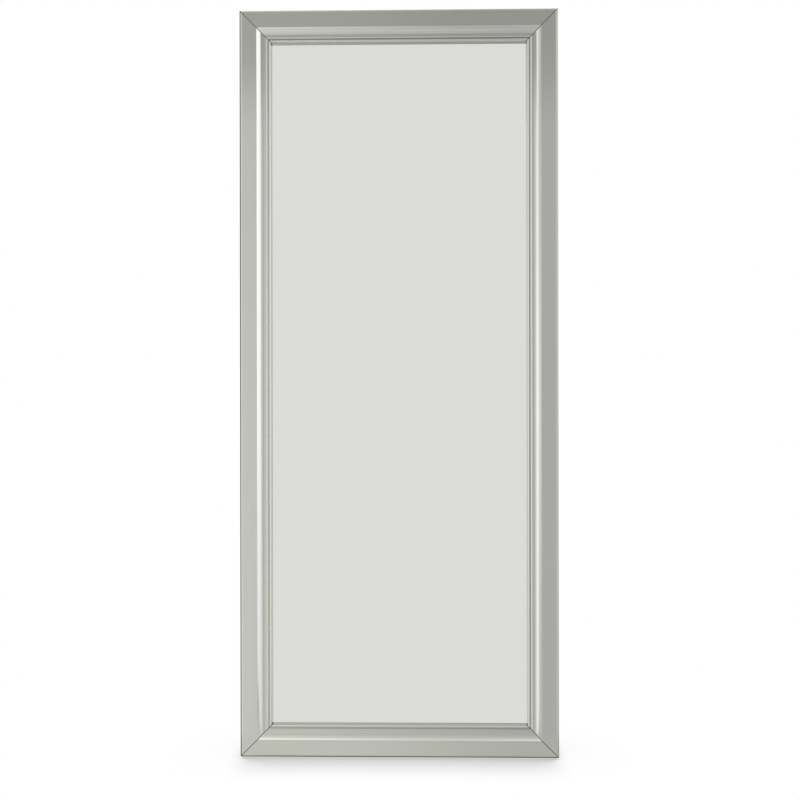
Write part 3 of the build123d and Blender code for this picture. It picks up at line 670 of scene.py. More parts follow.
@dataclass(frozen=True)
class Beech(Finish):
    """Bare beech with short flecks."""

    grain: Grain = Grain.ALONG_X
    fleck_cell: tuple[float, float] = (0.5 * MM, 0.02)
    band_cell: tuple[float, float] = (2.0 * MM, 0.08)
    relief_depth: float = 0.05 * MM

    def draw(self, graph: Graph) -> Signal:
        """Draws the wood's flecks and growth bands."""
        place = graph.place()
        flecks = graph.noise(place, self.grain.cell(*self.fleck_cell), detail=3.0)
        bands = graph.noise(place, self.grain.cell(*self.band_cell), seed=3.0)
        colour = graph.mix(bands.step(0.3, 0.7), self.colour, self.tinted(0.82))
        return graph.surface(
            Base_Color=graph.mix(flecks.step(0.6, 0.7) * 0.5, colour, self.tinted(0.55)),
            Roughness=self.roughness + 0.1 * flecks,
            Normal=graph.bump(flecks, self.relief_depth),
        )


@dataclass(frozen=True)
class Moulded(Finish):
    """Moulded plastic, rubber or foam: one colour with a fine spark texture or pores."""

    cell: float = 0.35 * MM
    depth: float = 0.03 * MM
    spread: float = 0.12
    clear: float = 0.0
    flow: float = 12.0

    def draw(self, graph: Graph) -> Signal:
        """Draws the texture and faint flow marks."""
        place = graph.place()
        texture = graph.noise(place, self.cell, detail=3.0)
        marks = graph.noise(place, self.flow * self.cell, seed=5.0)
        return graph.surface(
            Base_Color=graph.mix(marks, self.colour, self.tinted(1 - self.spread)),
            Roughness=self.roughness + 0.12 * (texture - 0.5),
            Transmission_Weight=self.clear,
            IOR=1.48,
            Normal=graph.bump(texture, self.depth),
        )


LACQUER = (0.60, 0.61, 0.568)
# Strength of the painted shade on the wall down to the glass, for each side of the frame.
LIP_SHADE_SHARES = {Member.LEFT: 0.12, Member.RIGHT: 0.25, Member.TOP: 0.75, Member.BOTTOM: 0.45}
# Strength of the painted shade along the outer edge, for each side of the frame.
EDGE_SHADE_SHARES = {Member.LEFT: 1.0, Member.RIGHT: 0.4, Member.TOP: 0.2, Member.BOTTOM: 1.0}
BOARD_LACQUER = BoardLacquer("cabinet lacquer", (0.56, 0.56, 0.52), 0.38)
UPRIGHT_STEEL = PlatedSteel("zinc plate, upright", (0.66, 0.67, 0.68), 0.30, Grain.ALONG_Z)
LEVEL_STEEL = PlatedSteel("zinc plate, level", (0.66, 0.67, 0.68), 0.30, Grain.ALONG_X)
DEEP_STEEL = PlatedSteel("zinc plate, deep", (0.64, 0.65, 0.67), 0.34, Grain.ALONG_Y)
STEEL_SLOT = "zinc_steel"
FIBRE_BROWN = (0.42, 0.33, 0.24)
BEECH = Beech("beech", (0.72, 0.56, 0.38), 0.6)


# Mesh helpers


@dataclass(frozen=True)
class Extent:
    """A box between two corners."""

    low: Vector
    high: Vector

    @classmethod
    def of_node(cls, node: str) -> "Extent":
        """Box of a node of the model."""
        return cls(*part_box(node))

    @property
    def middle(self) -> Vector:
        """Centre."""
        return (self.low + self.high) / 2

    @property
    def size(self) -> Vector:
        """Lengths of the sides."""
        return self.high - self.low

    def meets(self, other: "Extent") -> bool:
        """Whether two boxes overlap."""
        return all(self.low[i] < other.high[i] and other.low[i] < self.high[i] for i in range(3))


@dataclass(frozen=True)
class Solid:
    """One solid of a node: its points, its faces and its box."""

    points: np.ndarray
    faces: tuple[tuple[int, ...], ...]

    @property
    def extent(self) -> Extent:
        """The solid's box."""
        return Extent(Vector(self.points.min(0)), Vector(self.points.max(0)))


def solids_of(node: str) -> list[Solid]:
    """Separate solids of a node of the model.

    Args:
        node: Name of the node.

    Returns:
        The solids, with shared points joined.
    """
    mesh = frame["nodes"][node].data
    places = np.zeros(len(mesh.vertices) * 3)
    mesh.vertices.foreach_get("co", places)
    places = places.reshape(-1, 3)
    keys, first, index = np.unique(np.round(places / POINT_GRID).astype(np.int64), axis=0,
                                   return_index=True, return_inverse=True)
    index = index.reshape(-1)
    faces = [tuple(int(index[v]) for v in polygon.vertices) for polygon in mesh.polygons]
    faces = [face for face in faces if len(set(face)) == len(face)]
    group = list(range(len(keys)))

    def root(item: int) -> int:
        """Leader of an item's group."""
        while group[item] != item:
            group[item] = group[group[item]]
            item = group[item]
        return item

    for face in faces:
        for other in face[1:]:
            group[root(other)] = root(face[0])
    found: dict[int, list[tuple[int, ...]]] = {}
    for face in faces:
        found.setdefault(root(face[0]), []).append(face)
    solids = []
    for members in found.values():
        used = sorted({v for face in members for v in face})
        place_of = {v: i for i, v in enumerate(used)}
        points = places[first[used]]
        solids.append(Solid(points, tuple(tuple(place_of[v] for v in face) for face in members)))
    return solids


def as_object(name: str, shape: bmesh.types.BMesh) -> bpy.types.Object:
    """Puts a finished shape in the scene.

    Args:
        name: Name of the object.
        shape: The shape, which is freed.

    Returns:
        The object.
    """
    mesh = bpy.data.meshes.new(name)
    shape.to_mesh(mesh)
    shape.free()
    made = bpy.data.objects.new(name, mesh)
    bpy.context.scene.collection.objects.link(made)
    return made


def sheet(name: str, corners: Sequence[Point]) -> tuple[bpy.types.Object, Graph]:
    """Makes a flat piece of the studio.

    Args:
        name: Name of the piece and of its material.
        corners: Its corners in order.

    Returns:
        The piece, and the empty nodes of its material.
    """
    shape = bmesh.new()
    shape.faces.new([shape.verts.new(corner) for corner in corners])
    made = as_object(name, shape)
    material = bpy.data.materials.new(name)
    material.use_nodes = True
    made.data.materials.append(material)
    return made, Graph(material.node_tree)


def piece(name: str, shape: bmesh.types.BMesh, finishes: Sequence[Finish],
          sharp: float = CREASE) -> bpy.types.Object:
    """Makes an object from a finished shape, smooth except at its edges.

    Args:
        name: Name of the piece.
        shape: The shape, which is freed.
        finishes: Finishes, in the order of the faces' material numbers.
        sharp: Angle above which an edge stays crisp, in degrees.

    Returns:
        The object.
    """
    bmesh.ops.recalc_face_normals(shape, faces=shape.faces)
    made = as_object(name, shape)
    for finish in finishes:
        made.data.materials.append(finish.material())
    shade(made, sharp)
    return made


def shade(made: bpy.types.Object, sharp: float = CREASE) -> None:
    """Shades a piece smoothly over its rounds, evenly over its flats and crisply at its edges.

    Args:
        made: The piece.
        sharp: Angle above which an edge stays crisp, in degrees.
    """
    for polygon in made.data.polygons:
        polygon.use_smooth = True
    made.data.set_sharp_from_angle(angle=radians(sharp))
    if "even flats" not in made.modifiers:
        flats = made.modifiers.new("even flats", "WEIGHTED_NORMAL")
        flats.keep_sharp = True


def box_shape(extent: Extent) -> bmesh.types.BMesh:
    """Plain box.

    Args:
        extent: Its corners.

    Returns:
        The shape.
    """
    shape = bmesh.new()
    stretched = Matrix.Translation(extent.middle) @ Matrix.Diagonal((*extent.size, 1))
    bmesh.ops.create_cube(shape, size=1.0, matrix=stretched)
    return shape


def round_edges(shape: bmesh.types.BMesh, edges: Iterable[bmesh.types.BMEdge], radius: float,
                segments: int) -> None:
    """Rounds edges of a shape.

    Args:
        shape: The shape.
        edges: The edges.
        radius: Radius of the round.
        segments: Flats along it.
    """
    bmesh.ops.bevel(shape, geom=list(edges), offset=radius, offset_type="OFFSET", segments=segments,
                    profile=0.5, affect="EDGES", clamp_overlap=True)


def eased_board(extent: Extent, ease: float, front_round: float = 0.0) -> bmesh.types.BMesh:
    """Board with eased edges.

    Args:
        extent: Its corners.
        ease: Radius of the edges.
        front_round: Radius of the two long front edges, where they are rounder.

    Returns:
        The shape.
    """
    shape = box_shape(extent)
    if front_round:
        front = [e for e in shape.edges
                 if all(abs(v.co.y - extent.low.y) < ease / 10 for v in e.verts)
                 and abs(e.verts[0].co.x - e.verts[1].co.x) > ease]
        round_edges(shape, front, front_round, FRONT_FLATS)
    sharp = [e for e in shape.edges if len(e.link_faces) == 2 and e.calc_face_angle(0.0) > radians(FOLD)]
    round_edges(shape, sharp, ease, EASE_FLATS)
    return shape


def rod_solid(start: Vector, axis: int, radius: float, length: float, sides: int = 24) -> Solid:
    """Cylinder along one axis, as a cutting solid.

    Args:
        start: Centre of one end.
        axis: Number of the axis.
        radius: Radius.
        length: Length, negative to run the other way.
        sides: Number of flats.

    Returns:
        The solid.
    """
    across = [i for i in range(3) if i != axis]
    points = []
    for end in (0.0, length):
        for i in range(sides):
            angle = 2 * pi * i / sides
            point = list(start)
            point[axis] += end
            point[across[0]] += radius * cos(angle)
            point[across[1]] += radius * sin(angle)
            points.append(point)
    walls = [(i, (i + 1) % sides, sides + (i + 1) % sides, sides + i) for i in range(sides)]
    caps = [tuple(reversed(range(sides))), tuple(range(sides, 2 * sides))]
    return Solid(np.array(points), tuple(walls + caps))


def cut(target: bpy.types.Object, solids: Sequence[Solid]) -> None:
    """Cuts solids out of a piece.

    Args:
        target: The piece.
        solids: Solids that don't touch each other.
    """
    if not solids:
        return
    shape = bmesh.new()
    for solid in solids:
        verts = [shape.verts.new(point) for point in solid.points]
        for face in solid.faces:
            shape.faces.new([verts[i] for i in face])
    bmesh.ops.recalc_face_normals(shape, faces=shape.faces)
    cutter = as_object("cutter", shape)
    target.modifiers.clear()
    modifier = target.modifiers.new("bores", "BOOLEAN")
    modifier.operation = "DIFFERENCE"
    modifier.solver = "EXACT"
    modifier.object = cutter
    graph = bpy.context.evaluated_depsgraph_get()
    result = bpy.data.meshes.new_from_object(target.evaluated_get(graph))
    target.modifiers.remove(modifier)
    target.data = result
    mesh = cutter.data
    bpy.data.objects.remove(cutter)
    bpy.data.meshes.remove(mesh)


def place_piece(made: bpy.types.Object, body: str, nodes: Sequence[str]) -> None:
    """Fastens a piece to its body and says what it stands for.

    Args:
        made: The piece.
        body: Name of the body that carries it.
        nodes: Nodes of the model that it stands for.
    """
    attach(made, body)
    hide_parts(*nodes)
    LOG.info("%s rides on %s, for %s", made.name, body, ", ".join(nodes))


def dress(finish: Finish, slot: str, *nodes: str) -> None:
    """Gives nodes of the model their finish, and joins their doubled points.

    Args:
        finish: The finish.
        slot: The record's material slot. Not used.
        nodes: Names of the nodes.
    """
    for node in nodes:
        shown = frame["nodes"][node]
        shown.data.materials.clear()
        shown.data.materials.append(finish.material())
        weld = shown.modifiers.new("joined points", "WELD")
        weld.merge_threshold = POINT_GRID
        for polygon in shown.data.polygons:
            polygon.material_index = 0
        LOG.info("%s keeps its shape, in %s", node, finish.name)


# Mirror door


@dataclass(frozen=True)
class MouldingSection:
    """Section of the frame's moulding: widths run in from the outer face, levels forward from the back."""

    band_level: float = 35.0 * MM
    band_width: float = 40.5 * MM
    outer_round: float = 3.0 * MM
    shoulder_width: float = 4.0 * MM
    shoulder_drop: float = 0.5 * MM
    arris_radius: float = 1.0 * MM
    cove_radius: float = 22.0 * MM
    cove_angle: float = radians(52.0)
    cove_flat: float = 4.5 * MM
    reed_width: float = 3.5 * MM
    reed_rise: float = 0.7 * MM
    quirk_depth: float = 2.0 * MM
    quirk_width: float = 3.2 * MM
    bead_radius: float = 2.6 * MM
    bead_lift: float = 1.5 * MM
    glass_face: float = 11.0 * MM
    glass_rebate: float = 9.5 * MM
    backer_face: float = 7.0 * MM
    backer_rebate: float = 20.0 * MM
    arc_step: float = radians(4.0)
    arc_least: int = 3
    edge_ease: float = 0.25 * MM

    def arc(self, u: float, v: float, radius: float, start: float, end: float) -> list[tuple[float, float]]:
        """Points along an arc.

        Args:
            u: Centre across the width.
            v: Centre across the level.
            radius: Radius.
            start: First angle, from the direction of the width.
            end: Last angle.

        Returns:
            The points, both ends included.
        """
        count = max(self.arc_least, round(abs(end - start) / self.arc_step))
        angles = [start + (end - start) * i / count for i in range(count + 1)]
        return [(u + radius * cos(a), v + radius * sin(a)) for a in angles]

    def outline(self) -> list[tuple[float, float]]:
        """Closed outline, from the back of the outer face forward and inward.

        Returns:
            Points (width, level).
        """
        round_level = self.band_level - self.shoulder_drop - self.outer_round
        points = [(0.0, 0.0)]
        points += self.arc(self.outer_round, round_level, self.outer_round, pi, pi / 2)
        points.append((self.outer_round + self.shoulder_width, self.band_level))
        tangent = self.arris_radius * tan(self.cove_angle / 2)
        points += self.arc(self.band_width - tangent, self.band_level - self.arris_radius, self.arris_radius,
                           pi / 2, pi / 2 - self.cove_angle)
        cove_u = self.band_width + self.cove_radius * sin(self.cove_angle)
        cove_v = self.band_level + self.cove_radius * cos(self.cove_angle)
        cut_back = 2 * tangent / self.cove_radius
        points += self.arc(cove_u, cove_v, self.cove_radius, -pi / 2 - self.cove_angle + cut_back, -pi / 2)
        floor = cove_v - self.cove_radius
        reed = cove_u + self.cove_flat
        half = self.reed_width / 2
        reed_radius = (half**2 + self.reed_rise**2) / (2 * self.reed_rise)
        spread = atan(half / (reed_radius - self.reed_rise))
        points += self.arc(reed + half, floor + self.reed_rise - reed_radius, reed_radius,
                           pi / 2 + spread, pi / 2 - spread)
        quirk = floor - self.quirk_depth
        bead = reed + self.reed_width + self.quirk_width
        bead_floor = quirk + self.bead_lift
        points += [(reed + self.reed_width, quirk), (bead, quirk)]
        points += self.arc(bead + self.bead_radius, bead_floor, self.bead_radius, pi, 0.0)
        edge = bead + 2 * self.bead_radius
        glass_edge = edge - self.glass_rebate
        backer_edge = edge - self.backer_rebate
        points += [(edge, self.glass_face), (glass_edge, self.glass_face), (glass_edge, self.backer_face)]
        points += [(backer_edge, self.backer_face), (backer_edge, 0.0)]
        return points

    def drawn_in(self, points: Sequence[tuple[float, float]]) -> list[tuple[float, float]]:
        """Outline moved inward by the ease of the cut ends.

        Args:
            points: The outline.

        Returns:
            As many points.
        """
        moved = []
        for i, (u, v) in enumerate(points):
            before = Vector(points[i - 1])
            after = Vector(points[(i + 1) % len(points)])
            here = Vector((u, v))
            ways = [(here - before).normalized(), (after - here).normalized()]
            inward = sum((Vector((way.y, -way.x)) for way in ways), Vector((0.0, 0.0)))
            if inward.length > 0:
                here = here + inward.normalized() * self.edge_ease
            moved.append((here.x, here.y))
        return moved


@dataclass
class MirrorFrame:
    """The four mitred mouldings around the mirror."""

    section: MouldingSection = field(default_factory=MouldingSection)
    mitre_gap: float = 0.5 * MM
    roughness: float = 0.15
    body: str = "door"
    slot: str = "champagne_lacquer"

    def __post_init__(self) -> None:
        """Takes the door's outer corners from the model."""
        boxes = [Extent.of_node(member.node) for member in Member]
        self.half_width = max(box.high.x for box in boxes)
        self.low = min(box.low.z for box in boxes)
        self.high = max(box.high.z for box in boxes)
        self.back = max(box.high.y for box in boxes)

    def finish(self, member: Member) -> FrameLacquer:
        """Lacquer of one side of the frame, with that side's own strength of painted shade.

        Args:
            member: The side.

        Returns:
            The finish.
        """
        name = f"champagne lacquer with painted shade {member.name.lower()}"
        return FrameLacquer(name, LACQUER, self.roughness, member.grain, self.half_width, self.low,
                            self.high, lip_shade_share=LIP_SHADE_SHARES[member], edge_shade_share=EDGE_SHADE_SHARES[member])

    def member_shape(self, member: Member) -> bmesh.types.BMesh:
        """Sweeps the section along one side, mitred and eased at both ends.

        Args:
            member: The side.

        Returns:
            The shape.
        """
        outline = self.section.outline()
        drawn_in = self.section.drawn_in(outline)
        side_x, side_z = member.corner
        corner = Vector((side_x * self.half_width, self.back, self.high if side_z > 0 else self.low))
        length = 2 * self.half_width if member.along.x else self.high - self.low
        half_gap = self.mitre_gap / sqrt(2)
        ease = self.section.edge_ease
        forward = Vector((0, -1, 0))
        rings = [(drawn_in, half_gap, 1), (outline, half_gap + ease, 1),
                 (outline, half_gap + ease, -1), (drawn_in, half_gap, -1)]
        shape = bmesh.new()
        rows = []
        for points, offset, end in rings:
            row = []
            for u, v in points:
                run = u + offset if end > 0 else length - u - offset
                row.append(shape.verts.new(corner + member.along * run + member.inward * u + forward * v))
            rows.append(row)
        for first, second in zip(rows, rows[1:]):
            for i in range(len(first)):
                j = (i + 1) % len(first)
                shape.faces.new((first[i], first[j], second[j], second[i]))
        shape.faces.new(rows[0])
        shape.faces.new(list(reversed(rows[-1])))
        return shape

    def build(self) -> None:
        """Makes the four members, bored for the tenons across their mitres."""
        tenons = solids_of("mitre_tenons")
        for member in Member:
            made = piece(member.node + "_moulding", self.member_shape(member), [self.finish(member)])
            mine = Extent.of_node(member.node)
            cut(made, [tenon for tenon in tenons if tenon.extent.meets(mine)])
            shade(made)
            place_piece(made, self.body, [member.node])


@dataclass
class MirrorPlate:
    """The silvered plate with ground edges."""

    arris: float = 0.5 * MM
    crease: float = 10.0
    body: str = "door"
    slot: str = "mirror"
    node: str = "mirror_glass"
    silver: Colour = (0.884, 0.884, 0.866)

    def finishes(self, extent: Extent) -> list[Finish]:
        """Front, edge and back finishes.

        Args:
            extent: The plate's box.

        Returns:
            The finishes, in the order of the faces' material numbers.
        """
        return [
            SilveredGlass("silvered glass", self.silver, 0.0, half_width=extent.high.x,
                          low=extent.low.z, high=extent.high.z),
            GlassEdge("ground glass edge", (0.30, 0.47, 0.40), 0.35),
            Moulded("mirror backing paint", (0.22, 0.24, 0.25), 0.55),
        ]

    def build(self) -> None:
        """Makes the plate, with its three kinds of face."""
        extent = Extent.of_node(self.node)
        shape = box_shape(extent)
        round_edges(shape, shape.edges[:], self.arris, EASE_FLATS)
        shape.normal_update()
        for face in shape.faces:
            face.material_index = 0 if face.normal.y < -FACING else 2 if face.normal.y > FACING else 1
        made = piece("mirror_plate", shape, self.finishes(extent), sharp=self.crease)
        place_piece(made, self.body, [self.node])


@dataclass
class DoorBack:
    """What closes the back of the door: backing board, tape, blocks, corner plates and screws."""

    def build(self) -> None:
        """Dresses the nodes of the door's back."""
        board = Hardboard("brown hardboard", FIBRE_BROWN, 0.78)
        foam = Moulded("black foam", (0.12, 0.12, 0.12), 0.9, cell=0.8 * MM, depth=0.15 * MM)
        dress(board, "hardboard", "mirror_backer")
        dress(foam, "foam", "glass_foam_tape", "glass_setting_blocks")
        dress(BEECH, "beech", "mitre_tenons")
        dress(LEVEL_STEEL, STEEL_SLOT, "corner_plates")
        dress(DEEP_STEEL, STEEL_SLOT, "corner_plate_screws", "backer_screws", "strike_screws",
              "hinge_door_screws")
        dress(UPRIGHT_STEEL, STEEL_SLOT, "strike_plates", "hinge_door_leaf")


# Cabinet


@dataclass
class Cabinet:
    """Sides, boards, rails and shelves, bored for their fittings."""

    ease: float = 0.5 * MM
    shelf_round: float = 1.5 * MM
    hole_pitch: float = 32.0 * MM
    spare_holes: int = 1
    pin_radius: float = 2.5 * MM
    pin_hole_depth: float = 9.05 * MM
    back_rebate: float = 10.0 * MM
    overrun: float = 1.0 * MM
    body: str = "cabinet"
    sides: tuple[str, ...] = ("left_side", "right_side")
    lacquered: tuple[str, ...] = ("top_panel", "bottom_panel", "plinth_front", "plinth_back")
    loose: tuple[str, ...] = ("loose_shelf_1", "loose_shelf_2", "loose_shelf_3", "loose_shelf_4")
    fittings: tuple[tuple[str, ...], ...] = (
        ("cam_locks", "back_panel_screws", "hinge_cabinet_screws", "glide_nails"),
        ("cam_bolts", "dowels", "catch_screws"),
    )

    def __post_init__(self) -> None:
        """Reads the fittings' solids once."""
        self.groups = [[solid for node in nodes for solid in solids_of(node)] for nodes in self.fittings]
        self.pins = [solid.extent for solid in solids_of("shelf_pins")]

    def finish_board(self, made: bpy.types.Object, extent: Extent, node: str) -> None:
        """Cuts the fittings that enter a board out of it, shades it and fastens it to the cabinet.

        Args:
            made: The board.
            extent: The board's box.
            node: The node that it stands for.
        """
        for group in self.groups:
            cut(made, [solid for solid in group if solid.extent.meets(extent)])
        shade(made)
        place_piece(made, self.body, [node])

    def wall_holes(self, extent: Extent) -> list[Solid]:
        """Cutting rods for the two wall screws, from the record's mounts.

        Args:
            extent: The box of the board that they pass through.

        Returns:
            The rods.
        """
        mount = next(m for m in frame["record"]["mounts"] if m["name"] == "wall_fixing")
        half = mount["dims"]["spacing_x_mm"] / 2 * MM
        radius = mount["dims"]["hole_r_mm"] * MM
        starts = [Vector((x, extent.low.y - self.overrun, mount["pos_m"][2])) for x in (-half, half)]
        return [rod_solid(start, 1, radius, extent.size.y + 2 * self.overrun) for start in starts]

    def pin_holes(self, side: int, face: float) -> list[Solid]:
        """Cutting rods for the rows of shelf pin holes in one side.

        Args:
            side: -1 for the left side, 1 for the right.
            face: X of the side's inner face.

        Returns:
            The rods.
        """
        rods = []
        depth = side * (self.pin_hole_depth + self.overrun)
        for pin in self.pins:
            if pin.middle.x * side < 0:
                continue
            for step in range(-self.spare_holes, self.spare_holes + 1):
                height = pin.high.z - self.pin_radius + step * self.hole_pitch
                start = Vector((face - side * self.overrun, pin.middle.y, height))
                rods.append(rod_solid(start, 0, self.pin_radius, depth))
        return rods

    def side_panel(self, node: str) -> None:
        """Makes one side with its rebate and its holes.

        Args:
            node: Name of the side's node.
        """
        extent = Extent.of_node(node)
        side = 1 if extent.middle.x > 0 else -1
        face = extent.low.x if side > 0 else extent.high.x
        made = piece(node + "_panel", eased_board(extent, self.ease), [BOARD_LACQUER])
        panel = Extent.of_node("back_panel")
        across = sorted((face - side * self.overrun, face + side * self.back_rebate))
        low = Vector((across[0], panel.low.y, extent.low.z - self.overrun))
        high = Vector((across[1], extent.high.y + self.overrun, extent.high.z + self.overrun))
        rebate = box_shape(Extent(low, high))
        corners = np.array([v.co for v in rebate.verts])
        walls = tuple(tuple(v.index for v in f.verts) for f in rebate.faces)
        rebate.free()
        cut(made, [Solid(corners, walls)])
        cut(made, self.pin_holes(side, face))
        self.finish_board(made, extent, node)

    def board(self, node: str, finish: Finish, slot: str, front_round: float = 0.0) -> None:
        """Makes one board or rail between the sides.

        Args:
            node: Name of the board's node.
            finish: Its finish.
            slot: The record's material slot. Not used.
            front_round: Radius of its front edges, where they are rounder.
        """
        extent = Extent.of_node(node)
        made = piece(node + "_board", eased_board(extent, self.ease, front_round), [finish])
        if node == "wall_rail":
            cut(made, self.wall_holes(extent))
        self.finish_board(made, extent, node)

    def build(self) -> None:
        """Makes the cabinet's boards and dresses what stays as it is."""
        front = Extent.of_node("fixed_shelf").low.y
        shelf = ShelfFace("shelf board", (0.80, 0.79, 0.76), 0.42, front=front)
        for node in self.sides:
            self.side_panel(node)
        for node in self.lacquered:
            self.board(node, BOARD_LACQUER, "cabinet_lacquer")
        self.board("wall_rail", shelf, "shelf_board")
        self.board("fixed_shelf", shelf, "shelf_board")
        for node in self.loose:
            self.board(node, shelf, "shelf_board", self.shelf_round)
        panel = Extent.of_node("back_panel")
        backing = Hardboard("lacquered hardboard", FIBRE_BROWN, 0.78, face=panel.low.y)
        dress(backing, "hardboard", "back_panel")
        dress(DEEP_STEEL, STEEL_SLOT, "back_panel_screws")
        dress(BEECH, "beech", "dowels")


@dataclass
class Fittings:
    """Cams, pins, hinge, catches, bumpers and glides."""

    bumper_rings: int = 8
    bumper_sides: int = 32
    bumper_straight: float = 0.35
    body: str = "cabinet"

    def bumper_shape(self, solids: Sequence[Solid]) -> bmesh.types.BMesh:
        """Domed bumpers on the places of the model's discs.

        Args:
            solids: The discs.

        Returns:
            The shape.
        """
        shape = bmesh.new()
        for solid in solids:
            box = solid.extent
            radius = box.size.x / 2
            straight = self.bumper_straight * box.size.y
            dome = box.size.y - straight
            rings = [(box.high.y, radius), (box.high.y - straight, radius)]
            for i in range(1, self.bumper_rings):
                angle = pi / 2 * i / self.bumper_rings
                rings.append((box.high.y - straight - dome * sin(angle), radius * cos(angle)))
            rows = []
            for y, r in rings:
                turns = [2 * pi * k / self.bumper_sides for k in range(self.bumper_sides)]
                ring = [(box.middle.x + r * cos(a), y, box.middle.z + r * sin(a)) for a in turns]
                rows.append([shape.verts.new(point) for point in ring])
            tip = shape.verts.new((box.middle.x, box.low.y, box.middle.z))
            for first, second in zip(rows, rows[1:]):
                for k in range(self.bumper_sides):
                    j = (k + 1) % self.bumper_sides
                    shape.faces.new((first[k], first[j], second[j], second[k]))
            for k in range(self.bumper_sides):
                shape.faces.new((rows[-1][k], rows[-1][(k + 1) % self.bumper_sides], tip))
            shape.faces.new(list(reversed(rows[0])))
        return shape

    def build(self) -> None:
        """Makes the bumpers and dresses the other fittings."""
        rubber = Moulded("clear rubber", (0.78, 0.78, 0.76), 0.28, spread=0.05, clear=0.4)
        bumpers = piece("door_bumper_domes", self.bumper_shape(solids_of("door_bumpers")), [rubber])
        place_piece(bumpers, self.body, ["door_bumpers"])
        plastic = Moulded("white plastic", (0.86, 0.86, 0.84), 0.38, spread=0.04)
        dress(plastic, "white_plastic", "catch_housings", "glides")
        dress(Moulded("ferrite", (0.16, 0.16, 0.17), 0.6, cell=0.2 * MM), "ferrite", "catch_magnets")
        dress(UPRIGHT_STEEL, STEEL_SLOT, "catch_pole_plates", "hinge_pin", "hinge_cabinet_leaf")
        dress(LEVEL_STEEL, STEEL_SLOT, "shelf_pins", "cam_bolts", "cam_locks", "glide_nails")
        dress(DEEP_STEEL, STEEL_SLOT, "hinge_cabinet_screws", "catch_screws")


# Studio


@dataclass(frozen=True)
class Cloth:
    """Grey cloth of the studio: its corners, its tones, its soft hem and how far off metal mirrors it."""

    name: str
    corners: tuple[Point, ...]
    span: tuple[float, float]
    levels: tuple[float, float]
    hem: tuple[float, float]
    reach: tuple[float, float]


TOP_CLOTH = Cloth(
    "studio_top_cloth",
    ((-0.76, -1.6, 1.75), (0.68, -1.6, 1.75), (0.68, -1.6, 2.6), (-0.76, -1.6, 2.6)),
    span=(-0.33, 0.2), levels=(0.56, 0.49), hem=(1.8, 2.1), reach=(1.8, 2.16),
)


@dataclass(frozen=True)
class Lamp:
    """Soft round lamp: its place, its width and its power."""

    name: str
    place: Point
    size: float
    power: float


LAMPS = (
    Lamp("key", (-2.2, -2.6, 3.0), 2.0, 62.0),
    Lamp("fill", (2.6, -2.4, 1.8), 2.0, 26.0),
    Lamp("back", (0.4, 2.8, 3.2), 2.4, 52.0),
)


class Rays:
    """What a light ray left from: the camera or clear plastic, satin metal, or the mirror."""

    def __init__(self, graph: Graph) -> None:
        """Adds the node that tells rays apart.

        Args:
            graph: Nodes of a material or world.
        """
        outputs = graph.node("ShaderNodeLightPath").socket.node.outputs
        camera = Signal(graph, outputs["Is Camera Ray"])
        self.seen = camera.most(Signal(graph, outputs["Is Transmission Ray"]))
        self.glossy = Signal(graph, outputs["Is Glossy Ray"])
        self.sharp = Signal(graph, outputs["Is Singular Ray"])
        self.length = Signal(graph, outputs["Ray Length"])


